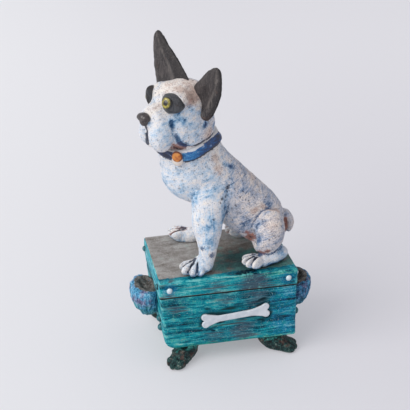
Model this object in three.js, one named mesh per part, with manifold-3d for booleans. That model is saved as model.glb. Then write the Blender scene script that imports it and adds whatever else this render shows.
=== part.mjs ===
// A painted stoneware trinket box: a slab-built casket on paw feet, with a dog sitting on its lift-off lid.
// Millimetres, +Z up, the front faces -Y, and the origin is on the ground under the middle of the box.
import * as THREE from "three";
import { mergeVertices } from "three/addons/utils/BufferGeometryUtils.js";
import Module from "manifold-3d";

const wasm = await Module();
wasm.setup();

// Driving sizes of the box
const LID_WIDTH = 120;
const LID_DEPTH = 85;
const LID_HEIGHT = 15.2;
const LID_SLAB = 7;
const FLANGE_THICKNESS = 4;
const FLANGE_DROP = 5;
const FLANGE_CLEARANCE = 0.7;
const TRAY_HEIGHT = 52.5;
const TRAY_INSET = 0.4;
const WALL = 6.6;
const FLOOR = 7;
const FRONT_TAPER = 0.025;
const SIDE_TAPER = { left: 0.09, right: -0.03 };
const FOOT_HEIGHT = 17;
const SEAM = 0.3;
const GAP = 0.3;
const CORNER_RADIUS = 4;
const TRAY_EDGE_ROUND = 3.5;
const ROLLED_EDGE_RADIUS = 10;
const LID_EDGE_ROUND = 1.8;

// Driving sizes of the box's trimmings
const BONE_LENGTH = 60;
const BONE_END = 6.6;
const BONE_WAIST = 3.3;
const BONE_FLARE = 15;
const BONE_CORNER = 3.4;
const BONE_NOTCH = 1.6;
const BONE_THICKNESS = 3.4;
const BONE_BED_DEPTH = 2.2;
const BONE_BED_MARGIN = 1.3;
const BONE_SHIFT = 6;
const BONE_DROP = 24.5;
const BONE_TILT = 4.5;
const LUG_OVERHANG = 19;
const LUG_TOP_DROP = 4.6;
const LEFT_LUG_SHIFT = -3;
const RIGHT_LUG_SHIFT = -16;
const LUG_HEIGHT = 31;
const LUG_WIDTH = 36;
const FOOT_REACH = 20;
const FOOT_SETBACK = 12;
const LEFT_FEET = { side: "left", inset: 20.5, splay: 46 };
const RIGHT_FEET = { side: "right", inset: 21, splay: 26 };
const PEARL_RADIUS = 2.7;
const PEARL_HEIGHT = 2.3;
const PEARL_FROM_END = 8.5;
const BEAD_RADIUS = 3.4;
const BEAD_HEIGHT = 3;

// Driving sizes of the dog, whose own frame has its origin on the lid under the middle of the lid
const HEAD_PLACE = [-28, 0, 150];
const HEAD_TURN = 28;
const PAW_SPREAD = 30;
const HIND_SPREAD = 33;
const FRONT_LEG_BACK = { left: 0, right: 9 };
const COLLAR_HEIGHT = 7;
const COLLAR_TILT = 6.5;
const COLLAR_ROLL = 9.5;
const COLLAR_CENTRE = [-26, 0, 108];
const COLLAR_THICKNESS = 3.4;
const NECK_RADIUS = 24;
const TAG_RADIUS = 4.6;
const TAG_PLACE = 60.5;
const IRIS_RADIUS = 4.4;
const EYE_SET = { left: 1, right: 0.8 };

// Levels that follow from the sizes
const RIM = FOOT_HEIGHT + TRAY_HEIGHT;
const LID_BOTTOM = RIM + SEAM;
const LID_TOP = LID_BOTTOM + LID_HEIGHT;
const FAR = 400;

const PAINTS = {
  clay: { color: 0xd9d6d0, roughness: 0.75, metalness: 0 },
  teal: { color: 0x4d949b, roughness: 0.7, metalness: 0 },
  topgrey: { color: 0x77766a, roughness: 0.7, metalness: 0 },
  charcoal: { color: 0x3a3a40, roughness: 0.65, metalness: 0 },
  footgreen: { color: 0x27332f, roughness: 0.7, metalness: 0 },
  lugpurple: { color: 0x5e6480, roughness: 0.75, metalness: 0 },
  pearl: { color: 0xcdd6dc, roughness: 0.4, metalness: 0 },
  bone: { color: 0xdadbde, roughness: 0.65, metalness: 0 },
  blue: { color: 0x4a63a8, roughness: 0.5, metalness: 0 },
  orange: { color: 0xd07d3c, roughness: 0.45, metalness: 0 },
  iris: { color: 0x9a8f3c, roughness: 0.15, metalness: 0 },
};

// Joining and cutting
function solid(geometry) {
  const bare = geometry.clone();
  bare.deleteAttribute("normal");
  bare.deleteAttribute("uv");
  const merged = mergeVertices(bare, 1e-4);
  const mesh = new wasm.Mesh({
    numProp: 3,
    vertProperties: new Float32Array(merged.attributes.position.array),
    triVerts: new Uint32Array(merged.index.array),
  });
  return new wasm.Manifold(mesh);
}

function geometryOf(body) {
  const mesh = body.getMesh();
  const geometry = new THREE.BufferGeometry();
  geometry.setAttribute("position", new THREE.BufferAttribute(new Float32Array(mesh.vertProperties), 3));
  geometry.setIndex(new THREE.BufferAttribute(new Uint32Array(mesh.triVerts), 1));
  geometry.computeVertexNormals();
  return geometry;
}

const join = (...bodies) => bodies.reduce((sum, body) => sum.add(body));
const cut = (body, ...tools) => tools.reduce((rest, tool) => rest.subtract(tool), body);

// A cut that leaves no crumbs: only the largest piece is kept
function trim(body, ...tools) {
  const pieces = cut(body, ...tools).decompose();
  return pieces.reduce((best, piece) => (piece.volume() > best.volume() ? piece : best));
}

// Basic solids
function block(low, high) {
  const size = high.map((value, axis) => value - low[axis]);
  const middle = high.map((value, axis) => (value + low[axis]) / 2);
  return solid(new THREE.BoxGeometry(...size).translate(...middle));
}

function ball(centre, radii, { turn = [0, 0, 0], grow = 0, sides = 14, rings = 9 } = {}) {
  const geometry = new THREE.SphereGeometry(1, sides, rings);
  geometry.scale(...radii.map((radius) => radius + grow));
  const angles = turn.map((degrees) => THREE.MathUtils.degToRad(degrees));
  geometry.applyMatrix4(new THREE.Matrix4().makeRotationFromEuler(new THREE.Euler(...angles)));
  return solid(geometry.translate(...centre));
}

// A smooth limb: each station is a centre with two half-widths, and both ends close in a dome
function limb(stations, { across = [0, 1, 0], caps = [0.2, 0.2], sides = 14, rings = 9, grow = 0 } = {}) {
  const spine = new THREE.CatmullRomCurve3(stations.map(([x, y, z]) => new THREE.Vector3(x, y, z)));
  const halves = stations.map(([, , , wide, thick]) => new THREE.Vector2(wide, thick));
  const girth = new THREE.SplineCurve(halves);
  const reference = new THREE.Vector3(...across);
  const positions = [];
  const triangles = [];
  positions.push(...spine.getPoint(0).toArray());
  for (let ring = 1; ring < rings; ring += 1) {
    const t = (1 - Math.cos((Math.PI * ring) / rings)) / 2;
    const start = Math.min(1, t / caps[0]);
    const end = Math.min(1, (1 - t) / caps[1]);
    const dome = Math.sqrt(1 - (1 - start) ** 2) * Math.sqrt(1 - (1 - end) ** 2);
    const centre = spine.getPoint(t);
    const tangent = spine.getTangent(t);
    const sideways = reference.clone().addScaledVector(tangent, -reference.dot(tangent)).normalize();
    const upward = new THREE.Vector3().crossVectors(tangent, sideways);
    const size = girth.getPoint(t);
    for (let side = 0; side < sides; side += 1) {
      const angle = (2 * Math.PI * side) / sides;
      const point = centre.clone();
      point.addScaledVector(sideways, size.x * dome * Math.cos(angle));
      point.addScaledVector(upward, size.y * dome * Math.sin(angle));
      positions.push(...point.toArray());
    }
  }
  positions.push(...spine.getPoint(1).toArray());
  const tip = positions.length / 3 - 1;
  const at = (ring, side) => 1 + ring * sides + (side % sides);
  for (let side = 0; side < sides; side += 1) {
    triangles.push(0, at(0, side + 1), at(0, side));
    triangles.push(tip, at(rings - 2, side), at(rings - 2, side + 1));
    for (let ring = 0; ring < rings - 2; ring += 1) {
      triangles.push(at(ring, side), at(ring, side + 1), at(ring + 1, side));
      triangles.push(at(ring, side + 1), at(ring + 1, side + 1), at(ring + 1, side));
    }
  }
  const geometry = new THREE.BufferGeometry();
  geometry.setAttribute("position", new THREE.BufferAttribute(new Float32Array(positions), 3));
  geometry.setIndex(triangles);
  return solid(swollen(geometry, grow));
}

// Moves every vertex outwards along its normal, to make room for a neighbour
function swollen(geometry, grow) {
  geometry.computeVertexNormals();
  const points = geometry.attributes.position;
  const normals = geometry.attributes.normal;
  for (let i = 0; i < points.count; i += 1) {
    points.setXYZ(
      i,
      points.getX(i) + grow * normals.getX(i),
      points.getY(i) + grow * normals.getY(i),
      points.getZ(i) + grow * normals.getZ(i),
    );
  }
  return geometry;
}

// A dome with a flat back, facing along +Z
function dome(radius, height, sides = 10) {
  const profile = [new THREE.Vector2(0, 0), new THREE.Vector2(radius, 0)];
  for (let step = 1; step < 3; step += 1) {
    const angle = (Math.PI / 2) * (step / 3);
    profile.push(new THREE.Vector2(radius * Math.cos(angle), height * Math.sin(angle)));
  }
  profile.push(new THREE.Vector2(0, height));
  return new THREE.LatheGeometry(profile, sides).rotateX(Math.PI / 2);
}

function faceAlong(geometry, place, direction) {
  const turn = new THREE.Quaternion().setFromUnitVectors(
    new THREE.Vector3(0, 0, 1),
    new THREE.Vector3(...direction).normalize(),
  );
  return geometry.clone().applyQuaternion(turn).translate(...place);
}

// A plate with rounded upright corners and rounded top and bottom edges, from z = 0 up to its height
function roundedPlate(width, depth, height, corner, edge) {
  const x = width / 2 - edge;
  const y = depth / 2 - edge;
  const r = Math.max(corner - edge, 0.6);
  const outline = new THREE.Shape();
  outline.moveTo(-x + r, -y);
  outline.lineTo(x - r, -y);
  outline.absarc(x - r, -y + r, r, -Math.PI / 2, 0);
  outline.lineTo(x, y - r);
  outline.absarc(x - r, y - r, r, 0, Math.PI / 2);
  outline.lineTo(-x + r, y);
  outline.absarc(-x + r, y - r, r, Math.PI / 2, Math.PI);
  outline.lineTo(-x, -y + r);
  outline.absarc(-x + r, -y + r, r, Math.PI, 1.5 * Math.PI);
  const plate = new THREE.ExtrudeGeometry(outline, {
    depth: height - 2 * edge,
    bevelThickness: edge,
    bevelSize: edge,
    bevelSegments: 3,
    curveSegments: 4,
    steps: 1,
  });
  return plate.translate(0, 0, edge);
}

// What lies between two leaning walls, given how far each stands from the middle at any level
function leaningPrism(minus, plus, alongX) {
  const outline = new THREE.Shape();
  outline.moveTo(-minus(0), 0);
  outline.lineTo(plus(0), 0);
  outline.lineTo(plus(FAR), FAR);
  outline.lineTo(-minus(FAR), FAR);
  const prism = new THREE.ExtrudeGeometry(outline, { depth: 2 * FAR, bevelEnabled: false });
  prism.translate(0, 0, -FAR).rotateX(Math.PI / 2);
  if (alongX) {
    prism.rotateZ(Math.PI / 2);
  }
  return solid(prism);
}

// Scene groups: what stays on the table, and what lifts off
const part = new THREE.Group();
part.name = "dog_trinket_box";
const box = new THREE.Group();
const lid = new THREE.Group();
const dog = new THREE.Group();
const head = new THREE.Group();
dog.position.set(0, 0, LID_TOP);
head.position.set(...HEAD_PLACE);
head.rotation.z = THREE.MathUtils.degToRad(HEAD_TURN);
dog.add(head);
lid.add(dog);
part.add(box, lid);

function place(group, name, shape, paint) {
  const geometry = shape.isBufferGeometry ? shape : geometryOf(shape);
  const mesh = new THREE.Mesh(geometry, new THREE.MeshStandardMaterial(PAINTS[paint]));
  mesh.name = name;
  group.add(mesh);
  return mesh;
}

// Tray walls and floor
const trayTop = { x: LID_WIDTH / 2 - TRAY_INSET, y: LID_DEPTH / 2 - TRAY_INSET };
const frontLean = (z) => trayTop.y - FRONT_TAPER * (RIM - z);
const sideLean = (side, z) => trayTop.x - SIDE_TAPER[side] * (RIM - z);

function betweenLongWalls(inset) {
  const face = (z) => frontLean(z) - inset;
  return leaningPrism(face, face, true);
}

function betweenShortWalls(inset) {
  const left = (z) => sideLean("left", z) - inset;
  const right = (z) => sideLean("right", z) - inset;
  return leaningPrism(left, right, false);
}

function trayOuter() {
  const height = TRAY_HEIGHT + TRAY_EDGE_ROUND + 1;
  const corner = CORNER_RADIUS + TRAY_EDGE_ROUND;
  const plate = roundedPlate(2 * trayTop.x, 2 * trayTop.y, height, corner, TRAY_EDGE_ROUND);
  plate.translate(0, 0, FOOT_HEIGHT);
  const points = plate.attributes.position;
  for (let i = 0; i < points.count; i += 1) {
    const z = points.getZ(i);
    const side = points.getX(i) < 0 ? "left" : "right";
    points.setX(i, points.getX(i) * (sideLean(side, z) / trayTop.x));
    points.setY(i, points.getY(i) * (frontLean(z) / trayTop.y));
  }
  return cut(solid(plate), rolledEdge(), block([-FAR, -FAR, RIM], [FAR, FAR, RIM + FAR]));
}

// What is rolled away from the tray's lower left edge
function rolledEdge() {
  const r = ROLLED_EDGE_RADIUS;
  const wall = -sideLean("left", FOOT_HEIGHT + r);
  const outline = new THREE.Shape();
  outline.moveTo(wall - r, FOOT_HEIGHT - r);
  outline.lineTo(wall + r, FOOT_HEIGHT - r);
  outline.lineTo(wall + r, FOOT_HEIGHT);
  outline.absarc(wall + r, FOOT_HEIGHT + r, r, 1.5 * Math.PI, Math.PI, true);
  outline.lineTo(wall - r, FOOT_HEIGHT + r);
  const tool = new THREE.ExtrudeGeometry(outline, { depth: 2 * FAR, bevelEnabled: false, curveSegments: 6 });
  return solid(tool.translate(0, 0, -FAR).rotateX(Math.PI / 2));
}

const trayBody = trayOuter();
const betweenFrontAndBack = betweenLongWalls(WALL);
const betweenFrontAndBackClear = betweenLongWalls(WALL + GAP);
const betweenSides = betweenShortWalls(WALL);
const betweenSidesClear = betweenShortWalls(WALL + GAP);
const frontHalf = block([-FAR, -FAR, 0], [FAR, 0, FAR]);
const backHalf = block([-FAR, 0, 0], [FAR, FAR, FAR]);
const leftHalf = block([-FAR, -FAR, 0], [0, FAR, FAR]);
const rightHalf = block([0, -FAR, 0], [FAR, FAR, FAR]);

function boneShape(margin) {
  const end = BONE_LENGTH / 2 + margin;
  const tip = BONE_END + margin;
  const waist = BONE_WAIST + margin;
  const flare = BONE_LENGTH / 2 - BONE_FLARE;
  const quarter = new THREE.Path();
  quarter.moveTo(0, waist);
  quarter.lineTo(flare, waist);
  const bend = flare + 0.48 * BONE_FLARE;
  quarter.bezierCurveTo(bend, waist, bend, tip, end - BONE_CORNER, tip);
  quarter.quadraticCurveTo(end, tip, end, tip - BONE_CORNER);
  quarter.quadraticCurveTo(end, 0.2 * tip, end - BONE_NOTCH, 0);
  const points = quarter.getPoints(3);
  const flip = (list, x, y) => list.map((point) => new THREE.Vector2(x * point.x, y * point.y));
  const back = points.slice(0, -1).reverse();
  return new THREE.Shape([
    ...points,
    ...flip(back, 1, -1),
    ...flip(points.slice(1), -1, -1),
    ...flip(back.slice(0, -1), -1, 1),
  ]);
}

function onFrontFace(geometry, depth) {
  const z = RIM - BONE_DROP;
  geometry.rotateZ(THREE.MathUtils.degToRad(BONE_TILT));
  geometry.rotateX(Math.PI / 2 + Math.atan(FRONT_TAPER));
  return geometry.translate(BONE_SHIFT, -frontLean(z) + depth, z);
}

const boneBed = onFrontFace(
  new THREE.ExtrudeGeometry(boneShape(BONE_BED_MARGIN), { depth: 20, bevelEnabled: false, curveSegments: 6 }),
  BONE_BED_DEPTH,
);
const boneEdge = 0.9;
const bone = onFrontFace(
  new THREE.ExtrudeGeometry(boneShape(-boneEdge), {
    depth: BONE_THICKNESS - 2 * boneEdge,
    bevelThickness: boneEdge,
    bevelSize: boneEdge,
    bevelSegments: 1,
    curveSegments: 6,
  }).translate(0, 0, boneEdge),
  BONE_BED_DEPTH - GAP,
);

const frontWall = cut(cut(trayBody, backHalf), betweenFrontAndBack);
const backWall = cut(cut(trayBody, frontHalf), betweenFrontAndBack);
const sideWalls = cut(trayBody.intersect(betweenFrontAndBackClear), betweenSides);
const floorLevel = block([-FAR, -FAR, 0], [FAR, FAR, FOOT_HEIGHT + FLOOR]);
const floor = trayBody.intersect(betweenFrontAndBackClear).intersect(betweenSidesClear).intersect(floorLevel);

place(box, "floor_slab", floor, "teal");
place(box, "front_wall", cut(frontWall, solid(boneBed)), "teal");
place(box, "back_wall", backWall, "teal");
place(box, "left_wall", cut(sideWalls, rightHalf), "teal");
place(box, "right_wall", cut(sideWalls, leftHalf), "teal");
place(box, "bone_relief", solid(bone), "bone");

// Grip lugs on the short sides, scooped at the top and tapering down to the wall
function lug(side) {
  const top = RIM - LUG_TOP_DROP;
  const wall = sideLean(side, top);
  const reach = LID_WIDTH / 2 + LUG_OVERHANG - wall;
  const face = (z) => sideLean(side, z) + GAP;
  const half = LUG_WIDTH / 2;
  const body = limb(
    [
      [wall + 0.35 * reach, 0, top, half, 0.62 * reach],
      [wall + 0.38 * reach, 0, top - 0.3 * LUG_HEIGHT, half, 0.62 * reach],
      [wall + 0.2 * reach, 0, top - 0.7 * LUG_HEIGHT, 0.72 * half, 0.55 * reach],
      [wall - 0.1 * reach, 0, top - LUG_HEIGHT, 0.4 * half, 0.3 * reach],
    ],
    { caps: [0.16, 0.3], sides: 16, rings: 9 },
  );
  const bowl = [0.42 * reach, 0.66 * half, 0.32 * LUG_HEIGHT];
  const scoop = ball([wall + 0.25 * reach, 0, top + 1], bowl, { sides: 12, rings: 8 });
  return cut(body, scoop, leaningPrism(face, face, false));
}

place(box, "right_lug", lug("right").translate([0, RIGHT_LUG_SHIFT, 0]), "lugpurple");
place(box, "left_lug", lug("left").mirror([1, 0, 0]).translate([0, LEFT_LUG_SHIFT, 0]), "lugpurple");

// Paw feet under the corners, curling out to the corner and flat on the ground
function pawFoot({ side, inset, splay }) {
  const inX = sideLean(side, FOOT_HEIGHT) - inset;
  const inY = frontLean(FOOT_HEIGHT) - FOOT_SETBACK;
  const angle = THREE.MathUtils.degToRad(splay);
  const out = new THREE.Vector2(Math.cos(angle), Math.sin(angle));
  const along = (distance, z, wide, thick) => [inX + out.x * distance, inY + out.y * distance, z, wide, thick];
  const leg = limb(
    [
      along(-2, FOOT_HEIGHT + 3, 11, 11),
      along(1, 0.62 * FOOT_HEIGHT, 9.5, 9.5),
      along(0.45 * FOOT_REACH, 0.4 * FOOT_HEIGHT, 8.6, 7.6),
      along(FOOT_REACH, 0.26 * FOOT_HEIGHT, 5.5, 4.4),
    ],
    { across: [-out.y, out.x, 0], caps: [0.1, 0.25], rings: 7, sides: 10 },
  );
  const toes = [-1, 0, 1].map((toe) => {
    const reach = FOOT_REACH - 2.2 * Math.abs(toe);
    const x = inX + out.x * reach - out.y * 5 * toe;
    const y = inY + out.y * reach + out.x * 5 * toe;
    const turn = [0, 0, splay + 9 * toe];
    return ball([x, y, 3.6], [5.6, 3.2, 4.4], { turn, sides: 6, rings: 5 });
  });
  const sole = along(0.66 * FOOT_REACH, 3.6);
  const pad = ball(sole.slice(0, 3), [9, 7.6, 5], { turn: [0, 0, splay], sides: 10, rings: 6 });
  const foot = join(leg, pad, ...toes);
  const ground = block([-FAR, -FAR, -FAR], [FAR, FAR, 0]);
  const above = block([-FAR, -FAR, FOOT_HEIGHT - GAP], [FAR, FAR, FAR]);
  return cut(foot, ground, above);
}

const rightFoot = pawFoot(RIGHT_FEET);
const leftFoot = pawFoot(LEFT_FEET).mirror([1, 0, 0]);
place(box, "foot_back_right", rightFoot, "footgreen");
place(box, "foot_front_right", rightFoot.mirror([0, 1, 0]), "footgreen");
place(box, "foot_back_left", leftFoot, "footgreen");
place(box, "foot_front_left", leftFoot.mirror([0, 1, 0]), "footgreen");

// Studs on the short sides, in front of the lugs
const bead = dome(BEAD_RADIUS, BEAD_HEIGHT);
[
  { name: "left_bead_upper", side: "left", y: -25.5, drop: 29 },
  { name: "left_bead_lower", side: "left", y: -24, drop: 39 },
  { name: "right_bead", side: "right", y: -36, drop: 30 },
].forEach(({ name, side, y, drop }) => {
  const z = RIM - drop;
  const sign = side === "left" ? -1 : 1;
  const seat = [sign * (sideLean(side, z) + GAP), y, z];
  place(box, name, faceAlong(bead, seat, [sign, 0, -SIDE_TAPER[side]]), "lugpurple");
});

// Lid slab, bands and locating flanges
const lidX = LID_WIDTH / 2;
const lidY = LID_DEPTH / 2;
const lidExtra = 10;
const lidPlate = roundedPlate(LID_WIDTH, LID_DEPTH, LID_HEIGHT + lidExtra, CORNER_RADIUS, LID_EDGE_ROUND);
const lidBlank = solid(lidPlate.translate(0, 0, LID_BOTTOM - lidExtra));
const slabBottom = LID_TOP - LID_SLAB;
const slabZone = block([-FAR, -FAR, slabBottom], [FAR, FAR, FAR]);
const bandZone = block([-FAR, -FAR, LID_BOTTOM], [FAR, FAR, slabBottom]);
const bands = lidBlank.intersect(bandZone);
const flangeLow = LID_BOTTOM - FLANGE_DROP;
const tightest = (side) => Math.min(sideLean(side, flangeLow), sideLean(side, RIM));
const innerLeft = tightest("left") - WALL - FLANGE_CLEARANCE;
const innerRight = tightest("right") - WALL - FLANGE_CLEARANCE;
const innerY = frontLean(flangeLow) - WALL - FLANGE_CLEARANCE;
place(lid, "lid_top_slab", lidBlank.intersect(slabZone), "topgrey");
place(lid, "lid_front_band", cut(bands, block([-FAR, -innerY, 0], [FAR, FAR, FAR])), "teal");
place(lid, "lid_back_band", cut(bands, block([-FAR, -FAR, 0], [FAR, innerY, FAR])), "teal");
const endBands = bands.intersect(block([-FAR, -innerY, 0], [FAR, innerY, FAR]));
place(lid, "lid_left_band", cut(endBands, block([-innerLeft, -FAR, 0], [FAR, FAR, FAR])), "teal");
place(lid, "lid_right_band", cut(endBands, block([-FAR, -FAR, 0], [innerRight, FAR, FAR])), "teal");

const flangeHeight = slabBottom - flangeLow;
const flangeMiddle = (innerRight - innerLeft) / 2;
const longFlange = new THREE.BoxGeometry(innerLeft + innerRight, FLANGE_THICKNESS, flangeHeight);
const shortFlange = new THREE.BoxGeometry(FLANGE_THICKNESS, 2 * (innerY - FLANGE_THICKNESS), flangeHeight);
[
  ["front", longFlange, flangeMiddle, -innerY + FLANGE_THICKNESS / 2],
  ["back", longFlange, flangeMiddle, innerY - FLANGE_THICKNESS / 2],
  ["left", shortFlange, -innerLeft + FLANGE_THICKNESS / 2, 0],
  ["right", shortFlange, innerRight - FLANGE_THICKNESS / 2, 0],
].forEach(([name, geometry, x, y]) => {
  const strip = place(lid, `lid_${name}_flange`, geometry.clone(), "clay");
  strip.position.set(x, y, slabBottom - flangeHeight / 2);
});

// Pearls round the lid's edge
const pearl = dome(PEARL_RADIUS, PEARL_HEIGHT);
const pearlZ = LID_BOTTOM + LID_HEIGHT / 2;
const pearlX = lidX - PEARL_FROM_END;
const pearlY = lidY - PEARL_FROM_END;
[
  ["front_left", [-pearlX, -lidY, pearlZ], [0, -1, 0]],
  ["front_right", [pearlX, -lidY, pearlZ], [0, -1, 0]],
  ["back_left", [-pearlX, lidY, pearlZ], [0, 1, 0]],
  ["back_right", [pearlX, lidY, pearlZ], [0, 1, 0]],
  ["left_front", [-lidX, -pearlY, pearlZ], [-1, 0, 0]],
  ["left_back", [-lidX, pearlY, pearlZ], [-1, 0, 0]],
  ["right_front", [lidX, -pearlY, pearlZ], [1, 0, 0]],
  ["right_back", [lidX, pearlY, pearlZ], [1, 0, 0]],
].forEach(([name, at, outward]) => {
  const seat = at.map((value, axis) => value + GAP * outward[axis]);
  place(lid, `lid_pearl_${name}`, faceAlong(pearl, seat, outward), "pearl");
});

// Dog: body and legs, all above the lid
const lidClear = block([-FAR, -FAR, -FAR], [FAR, FAR, GAP]);

function torso(grow) {
  const trunk = limb(
    [
      [51, 0, 13, 17, 17],
      [34, 0, 29, 24, 26.5],
      [8, 0, 58, 23.5, 25.5],
      [-18, 0, 84.5, 25, 26.5],
      [-29, 0, 106, NECK_RADIUS - 1, NECK_RADIUS - 2],
      [-28, 0, 124, 20, 21],
    ],
    { caps: [0.12, 0.08], sides: 20, rings: 16, grow },
  );
  const chest = ball([-22.5, 0, 82], [26, 23, 27], { grow, sides: 16, rings: 10, turn: [0, 18, 0] });
  const seat = ball([42, 0, 15], [17, 24, 15.5], { grow });
  return join(trunk, chest, seat);
}

function frontLeg(side, back, grow = 0) {
  return limb(
    [
      [-10 + back, 15 * side, 82, 9, 14],
      [-12.5 + back, 20 * side, 62, 12.5, 15.5],
      [-14.5 + back, 24 * side, 42, 12, 14.5],
      [-15.5 + back, (PAW_SPREAD - 3.5) * side, 25, 9.8, 10.8],
      [-16 + back, (PAW_SPREAD - 3) * side, 10, 8, 8.4],
    ],
    { caps: [0.22, 0.08], grow },
  );
}

function toesOf(centre, reach, heading, spread, grow) {
  return [-1.5, -0.5, 0.5, 1.5].map((toe) => {
    const angle = THREE.MathUtils.degToRad(heading + 17 * toe);
    const back = 1.6 * Math.abs(toe);
    const x = centre[0] + Math.cos(angle) * (reach - back) - Math.sin(angle) * spread * 0.3 * toe;
    const y = centre[1] + Math.sin(angle) * (reach - back) + Math.cos(angle) * spread * 0.3 * toe;
    const turn = [0, 0, heading + 17 * toe];
    return ball([x, y, centre[2] - 1.2], [8.2, 3.2, 4.8], { turn, grow, sides: 7, rings: 5 });
  });
}

function frontPaw(side, back, grow = 0) {
  const centre = [-24, PAW_SPREAD * side, 6];
  const heel = [centre[0] + back / 2, centre[1], centre[2]];
  const pad = ball(heel, [12 + back / 2, 10, 7.5], { grow, sides: 12, rings: 8 });
  return join(pad, ...toesOf(centre, 10, 180 - 14 * side, 6, grow));
}

function thigh(side, grow = 0) {
  const turn = [6 * side, 12, 10 * side];
  return ball([39.5, 25 * side, 29], [14.8, 13, 20], { turn, grow, sides: 16, rings: 10 });
}

function hindFoot(side, grow = 0) {
  const centre = [23, HIND_SPREAD * side, 6];
  const shank = limb(
    [
      [54.5, (HIND_SPREAD - 14) * side, 7, 6, 6.5],
      [44, (HIND_SPREAD - 6) * side, 7, 6.5, 6.5],
      [31, (HIND_SPREAD - 2) * side, 6.5, 8, 7],
      [22, HIND_SPREAD * side, 6, 8.5, 6.8],
    ],
    { across: [0, 0, 1], caps: [0.16, 0.2], grow, sides: 10, rings: 8 },
  );
  return join(shank, ...toesOf(centre, 5, 180 - 20 * side, 6, grow));
}

function tail(grow = 0) {
  return limb(
    [
      [49, 1, 27, 5.5, 5.5],
      [58.5, 2, 32.5, 5, 4.6],
      [64, 2, 25, 4.6, 4.2],
      [62, 1, 14, 4, 3.6],
    ],
    { caps: [0.2, 0.25], grow, sides: 10 },
  );
}

const trunk = torso(0);
const trunkClear = torso(GAP);
place(dog, "dog_torso", trim(trunk, lidClear), "clay");
place(dog, "dog_tail", trim(tail(), trunkClear), "clay");
[
  ["left", -1],
  ["right", 1],
].forEach(([name, side]) => {
  const back = FRONT_LEG_BACK[name];
  const pawClear = frontPaw(side, back, GAP);
  const thighClear = thigh(side, GAP);
  place(dog, `dog_front_${name}_leg`, trim(frontLeg(side, back), trunkClear, pawClear, lidClear), "clay");
  place(dog, `dog_front_${name}_paw`, trim(frontPaw(side, back), lidClear), "clay");
  place(dog, `dog_hind_${name}_thigh`, trim(thigh(side), trunkClear, lidClear), "clay");
  place(dog, `dog_hind_${name}_foot`, trim(hindFoot(side), trunkClear, thighClear, lidClear), "clay");
});

// Dog: collar and tag
function collarBlank(grow) {
  const outer = torso(COLLAR_THICKNESS + grow);
  const slab = new THREE.BoxGeometry(FAR, FAR, COLLAR_HEIGHT + 2 * grow);
  slab.rotateX(THREE.MathUtils.degToRad(COLLAR_ROLL));
  slab.rotateY(THREE.MathUtils.degToRad(-COLLAR_TILT));
  return outer.intersect(solid(slab.translate(...COLLAR_CENTRE)));
}

const tagAngle = THREE.MathUtils.degToRad(TAG_PLACE);
const tagOutward = [-Math.cos(tagAngle), -Math.sin(tagAngle), 0.1];
const tagReach = NECK_RADIUS + COLLAR_THICKNESS;
const tagAt = (extra, drop) => [
  COLLAR_CENTRE[0] - Math.cos(tagAngle) * (tagReach + extra),
  COLLAR_CENTRE[1] - Math.sin(tagAngle) * (tagReach + extra),
  COLLAR_CENTRE[2] - drop,
];
place(dog, "dog_collar", trim(collarBlank(0), trunkClear), "blue");

// Dog: head, in the turned frame of its own group
function skull(grow) {
  const cranium = ball([-3, 0, -10], [25, 21.5, 21], { grow, sides: 18, rings: 12 });
  const cheek = { grow, sides: 12, rings: 8 };
  const cheeks = [-1, 1].map((side) => ball([-3, 11 * side, -25], [22.5, 12.5, 18], cheek));
  const muzzle = limb(
    [
      [-14, 0, -12, 17, 16],
      [-27, 0, -17, 15.5, 14.5],
      [-40.5, 0, -20.5, 12.5, 12.5],
    ],
    { caps: [0.1, 0.3], grow },
  );
  return join(cranium, ...cheeks, muzzle);
}

function jowl(side, grow = 0) {
  return ball([-29.5, 7.6 * side, -24.5], [12.2, 10, 16], { turn: [8 * side, 12, -10 * side], grow });
}

function eyePatch(set, grow = 0) {
  return limb(
    [
      [-13.5, 17 * set, -4, 2.4, 3.4],
      [-19.5, 15 * set, -1.6, 5.4, 7.2],
      [-26, 12 * set, -1, 6.8, 8.6],
      [-32, 9.6 * set, -1.4, 5.6, 7],
    ],
    { caps: [0.2, 0.22], grow, sides: 12, rings: 8 },
  );
}

const ears = {
  left: {
    side: -1,
    stations: [[15, -11, 12], [22.5, -1, 14.5], [30, 11, 12], [34.2, 22, 7.5], [35, 28, 2.8]],
  },
  right: {
    side: 1,
    stations: [[11, -8, 24], [22, 9.5, 19.5], [31, 25, 12.5], [36.5, 36.5, 6.5], [38, 42, 2]],
  },
};

function ear({ side, stations }, grow = 0) {
  const [root, , middle] = stations;
  const along = new THREE.Vector2(middle[0] - root[0], middle[1] - root[1]).normalize();
  return limb(
    stations.map(([lateral, z, wide], i) => [1.5 * i * 0.4, lateral * side, z, wide, 3.6 - 0.35 * i]),
    { across: [0, along.y * side, -along.x], caps: [0.12, 0.12], grow, sides: 14, rings: 10 },
  );
}

function earScoop({ side, stations }) {
  const [, [lateral, z, wide], , upper] = stations;
  const lean = THREE.MathUtils.radToDeg(Math.atan2(upper[0] - lateral, upper[1] - z));
  const turn = [-lean * side, 0, 0];
  return ball([-4.2, lateral * side * 1.12, z * 1.15 + 2], [4.6, 0.68 * wide, 20], { turn });
}

const skullBody = skull(0);
const skullClear = skull(GAP);
head.updateMatrix();
const intoHead = head.matrix.clone().invert();
const neckClear = torso(GAP).transform(intoHead.elements);
const collarClear = collarBlank(GAP).transform(intoHead.elements);
const jowls = { left: jowl(-1), right: jowl(1) };
const midline = block([-FAR, -GAP / 2, -FAR], [FAR, GAP / 2, FAR]);
const nose = (grow) => ball([-42, 0, -12.6], [4.6, 6.6, 5.2], { grow, sides: 12, rings: 8 });
const chin = (grow) => ball([-33.5, 0, -32], [6.6, 6.5, 5.6], { grow, sides: 12, rings: 8 });
const headTrim = [neckClear, collarClear];

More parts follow.
